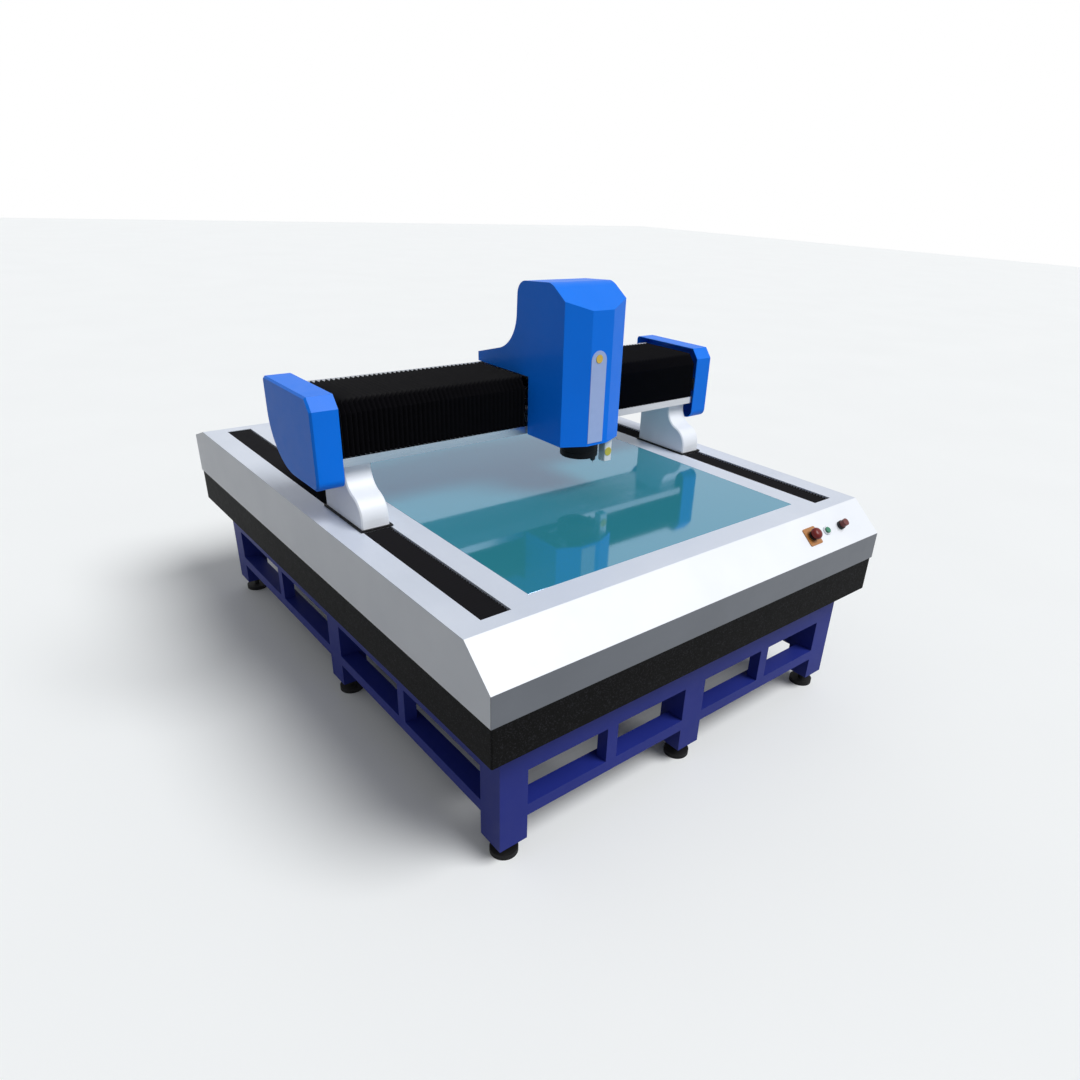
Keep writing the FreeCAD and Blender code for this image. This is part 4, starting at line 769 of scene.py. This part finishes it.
@dataclass
class ControlPanel:
    """Caps and collars of the emergency stop and the start button, on the sloping apron."""

    up_slope_mm: float = 72.0
    stop_x_mm: float = 480.0
    start_x_mm: float = 560.0

    def place(self, x_mm: float) -> tuple[Vector, Vector]:
        """Finds where a control stands.

        Args:
            x_mm: Its place across the apron.

        Returns:
            The point on the apron and the apron's outward direction.
        """
        low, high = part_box("front_apron")
        slope = Vector((0, high.y - low.y, high.z - low.z)).normalized()
        point = Vector((x_mm * MM, low.y, low.z)) + slope * self.up_slope_mm * MM
        return point, Vector((0, -slope.z, slope.y))

    def build(self, workshop: Workshop) -> None:
        """Makes the domed mushroom, the button's cap and the collars.

        Args:
            workshop: Where the finishes are kept.
        """
        stop, out = self.place(self.stop_x_mm)
        dome = [(6.1, 15.3), (18.4, 15.3), (19.6, 16.2), (20, 18), (20, 21.5), (19.2, 25), (17, 28.6), (13.4, 31.2),
                (8.6, 32.7), (4, 33.2), (0, 33.3)]
        mushroom = turned("stop_mushroom", dome, stop, out, steps=64)
        start, _ = self.place(self.start_x_mm)
        cap = turned("start_cap", [(0, 3), (10.3, 3), (10.4, 8.4), (9.6, 9.6), (7, 10), (0, 9.7)],
                     start, out, steps=48)
        collar = turned("stop_collar", [(7, 3), (15.9, 3), (15.9, 5.4), (15, 6.6), (14, 9), (7, 9)],
                        stop, out, closed=True)
        bezel = turned("start_bezel", [(10.7, 5.02), (14.2, 5.02), (15, 4.4), (15.02, 0.3), (15.2, 0.3),
                                       (15.2, 4.6), (14.3, 5.5), (10.7, 5.5)], start, out, closed=True)
        for piece, finish, body, slot in ((mushroom, Paint.STOP_RED, "estop_mushroom", "estop_red"),
                                          (cap, Paint.GREEN, "start_button", "green_plastic"),
                                          (collar, Paint.PLASTIC, "base", "black_plastic"),
                                          (bezel, Paint.STRIP, "base", "black_plastic")):
            workshop.dress(piece, finish)
            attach(piece, body)
        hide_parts("estop_mushroom")
        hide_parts("start_button")
        LOG.info("made the controls' caps and collars")


# ---- stage ---------------------------------------------------------------------------------------
@dataclass
class Studio:
    """Pale floor, soft key lamp, even fill, and the camera."""

    eye: tuple[float, float, float] = (-1.5741, -2.2119, 1.6384)
    yaw_deg: float = 41.1635
    pitch_deg: float = 26.5796
    roll_deg: float = 2.8707
    lens_mm: float = 25.403
    shift: tuple[float, float] = (-0.03432, 0.02840)
    key_strength: float = 2.5
    key_angle_deg: float = 32.0
    key_towards: tuple[float, float, float] = (0.35, -0.62, 0.95)
    fill_strength: float = 0.36
    floor_half_m: float = 30.0
    floor_cloud_mm: float = 900.0
    # Share of the floor's light that doesn't come back up, so that faces turned away stay in shade.
    floor_loss: float = 0.85

    def camera(self) -> None:
        """Places the camera at a standing person's eye."""
        data = bpy.data.cameras.new("camera")
        data.sensor_width = 36.0
        data.lens = self.lens_mm
        data.shift_x, data.shift_y = self.shift
        data.clip_end = 100.0
        camera = bpy.data.objects.new("camera", data)
        bpy.context.scene.collection.objects.link(camera)
        yaw, pitch, roll = (math.radians(a) for a in (self.yaw_deg, self.pitch_deg, self.roll_deg))
        level = Vector((math.sin(yaw), math.cos(yaw), 0))
        side = Vector((math.cos(yaw), -math.sin(yaw), 0))
        ahead = level * math.cos(pitch) - Vector((0, 0, math.sin(pitch)))
        above = level * math.sin(pitch) + Vector((0, 0, math.cos(pitch)))
        right = side * math.cos(roll) + above * math.sin(roll)
        up = above * math.cos(roll) - side * math.sin(roll)
        turn = Matrix((right, up, -ahead)).transposed().to_4x4()
        camera.matrix_world = Matrix.Translation(self.eye) @ turn
        bpy.context.scene.camera = camera

    def floor(self) -> None:
        """Lays a wide pale floor that keeps the machine's shadow and looks white from afar."""
        size = self.floor_half_m
        corners = [Vector((x, y, -0.0005)) for x, y in ((-size, -size), (size, -size), (size, size), (-size, size))]
        piece = mesh_piece("studio_floor", corners, [[0, 1, 2, 3]])
        material = bpy.data.materials.new("pale_studio_floor")
        material.use_nodes = True
        tree = material.node_tree
        shader = tree.nodes["Principled BSDF"]
        shader.inputs["Roughness"].default_value = 0.9
        position = add(tree, "ShaderNodeTexCoord").outputs["Object"]
        cloud = add(tree, "ShaderNodeTexNoise", {"Vector": position, "Scale": grain(self.floor_cloud_mm)})
        tone = add(tree, "ShaderNodeMix", {"Factor": cloud.outputs["Fac"], 6: linear("F6F8F8"), 7: linear("F2F4F4")},
                   data_type="RGBA")
        path = add(tree, "ShaderNodeLightPath")
        seen = add(tree, "ShaderNodeMath", {0: path.outputs["Is Diffuse Ray"], 1: self.floor_loss},
                   operation="MULTIPLY")
        shown = add(tree, "ShaderNodeMix", {"Factor": seen.outputs[0], 6: tone.outputs[2], 7: linear("000000")},
                    data_type="RGBA")
        tree.links.new(shown.outputs[2], shader.inputs["Base Color"])
        piece.data.materials.append(material)

    def lamps(self) -> None:
        """Hangs the key lamp high on the right and sets the even fill of the room."""
        key = bpy.data.lights.new("key", "SUN")
        key.energy = self.key_strength
        key.angle = math.radians(self.key_angle_deg)
        lamp = bpy.data.objects.new("key", key)
        bpy.context.scene.collection.objects.link(lamp)
        lamp.rotation_euler = Vector(self.key_towards).to_track_quat("Z", "Y").to_euler()
        world = bpy.data.worlds.new("room")
        world.use_nodes = True
        bpy.context.scene.world = world
        tree = world.node_tree
        ground = tree.nodes["Background"]
        ground.inputs["Color"].default_value = linear("F4F6FA")
        ground.inputs["Strength"].default_value = self.fill_strength
        seen = add(tree, "ShaderNodeBackground", {"Color": linear("FFFFFF"), "Strength": 1.0})
        path = add(tree, "ShaderNodeLightPath")
        rays = add(tree, "ShaderNodeMath", {0: path.outputs["Is Camera Ray"], 1: path.outputs["Is Glossy Ray"]},
                   operation="MAXIMUM")
        either = add(tree, "ShaderNodeMath", {0: rays.outputs[0], 1: path.outputs["Is Transmission Ray"]},
                     operation="MAXIMUM")
        mix = add(tree, "ShaderNodeMixShader", {0: either.outputs[0], 1: ground.outputs[0], 2: seen.outputs[0]})
        tree.links.new(mix.outputs[0], tree.nodes["World Output"].inputs["Surface"])
        bpy.context.scene.view_settings.view_transform = "Standard"


def main() -> None:
    """Builds every sub-assembly in order and sets the stage."""
    logging.basicConfig(level=logging.INFO, format="%(name)s: %(message)s")
    workshop = Workshop()
    workshop.dress_nodes()
    for assembly in (BeamBellows(), SlotBellows(), OpticsHead(), ControlPanel()):
        assembly.build(workshop)
    studio = Studio()
    studio.floor()
    studio.lamps()
    studio.camera()


if __name__ == "__main__":
    main()
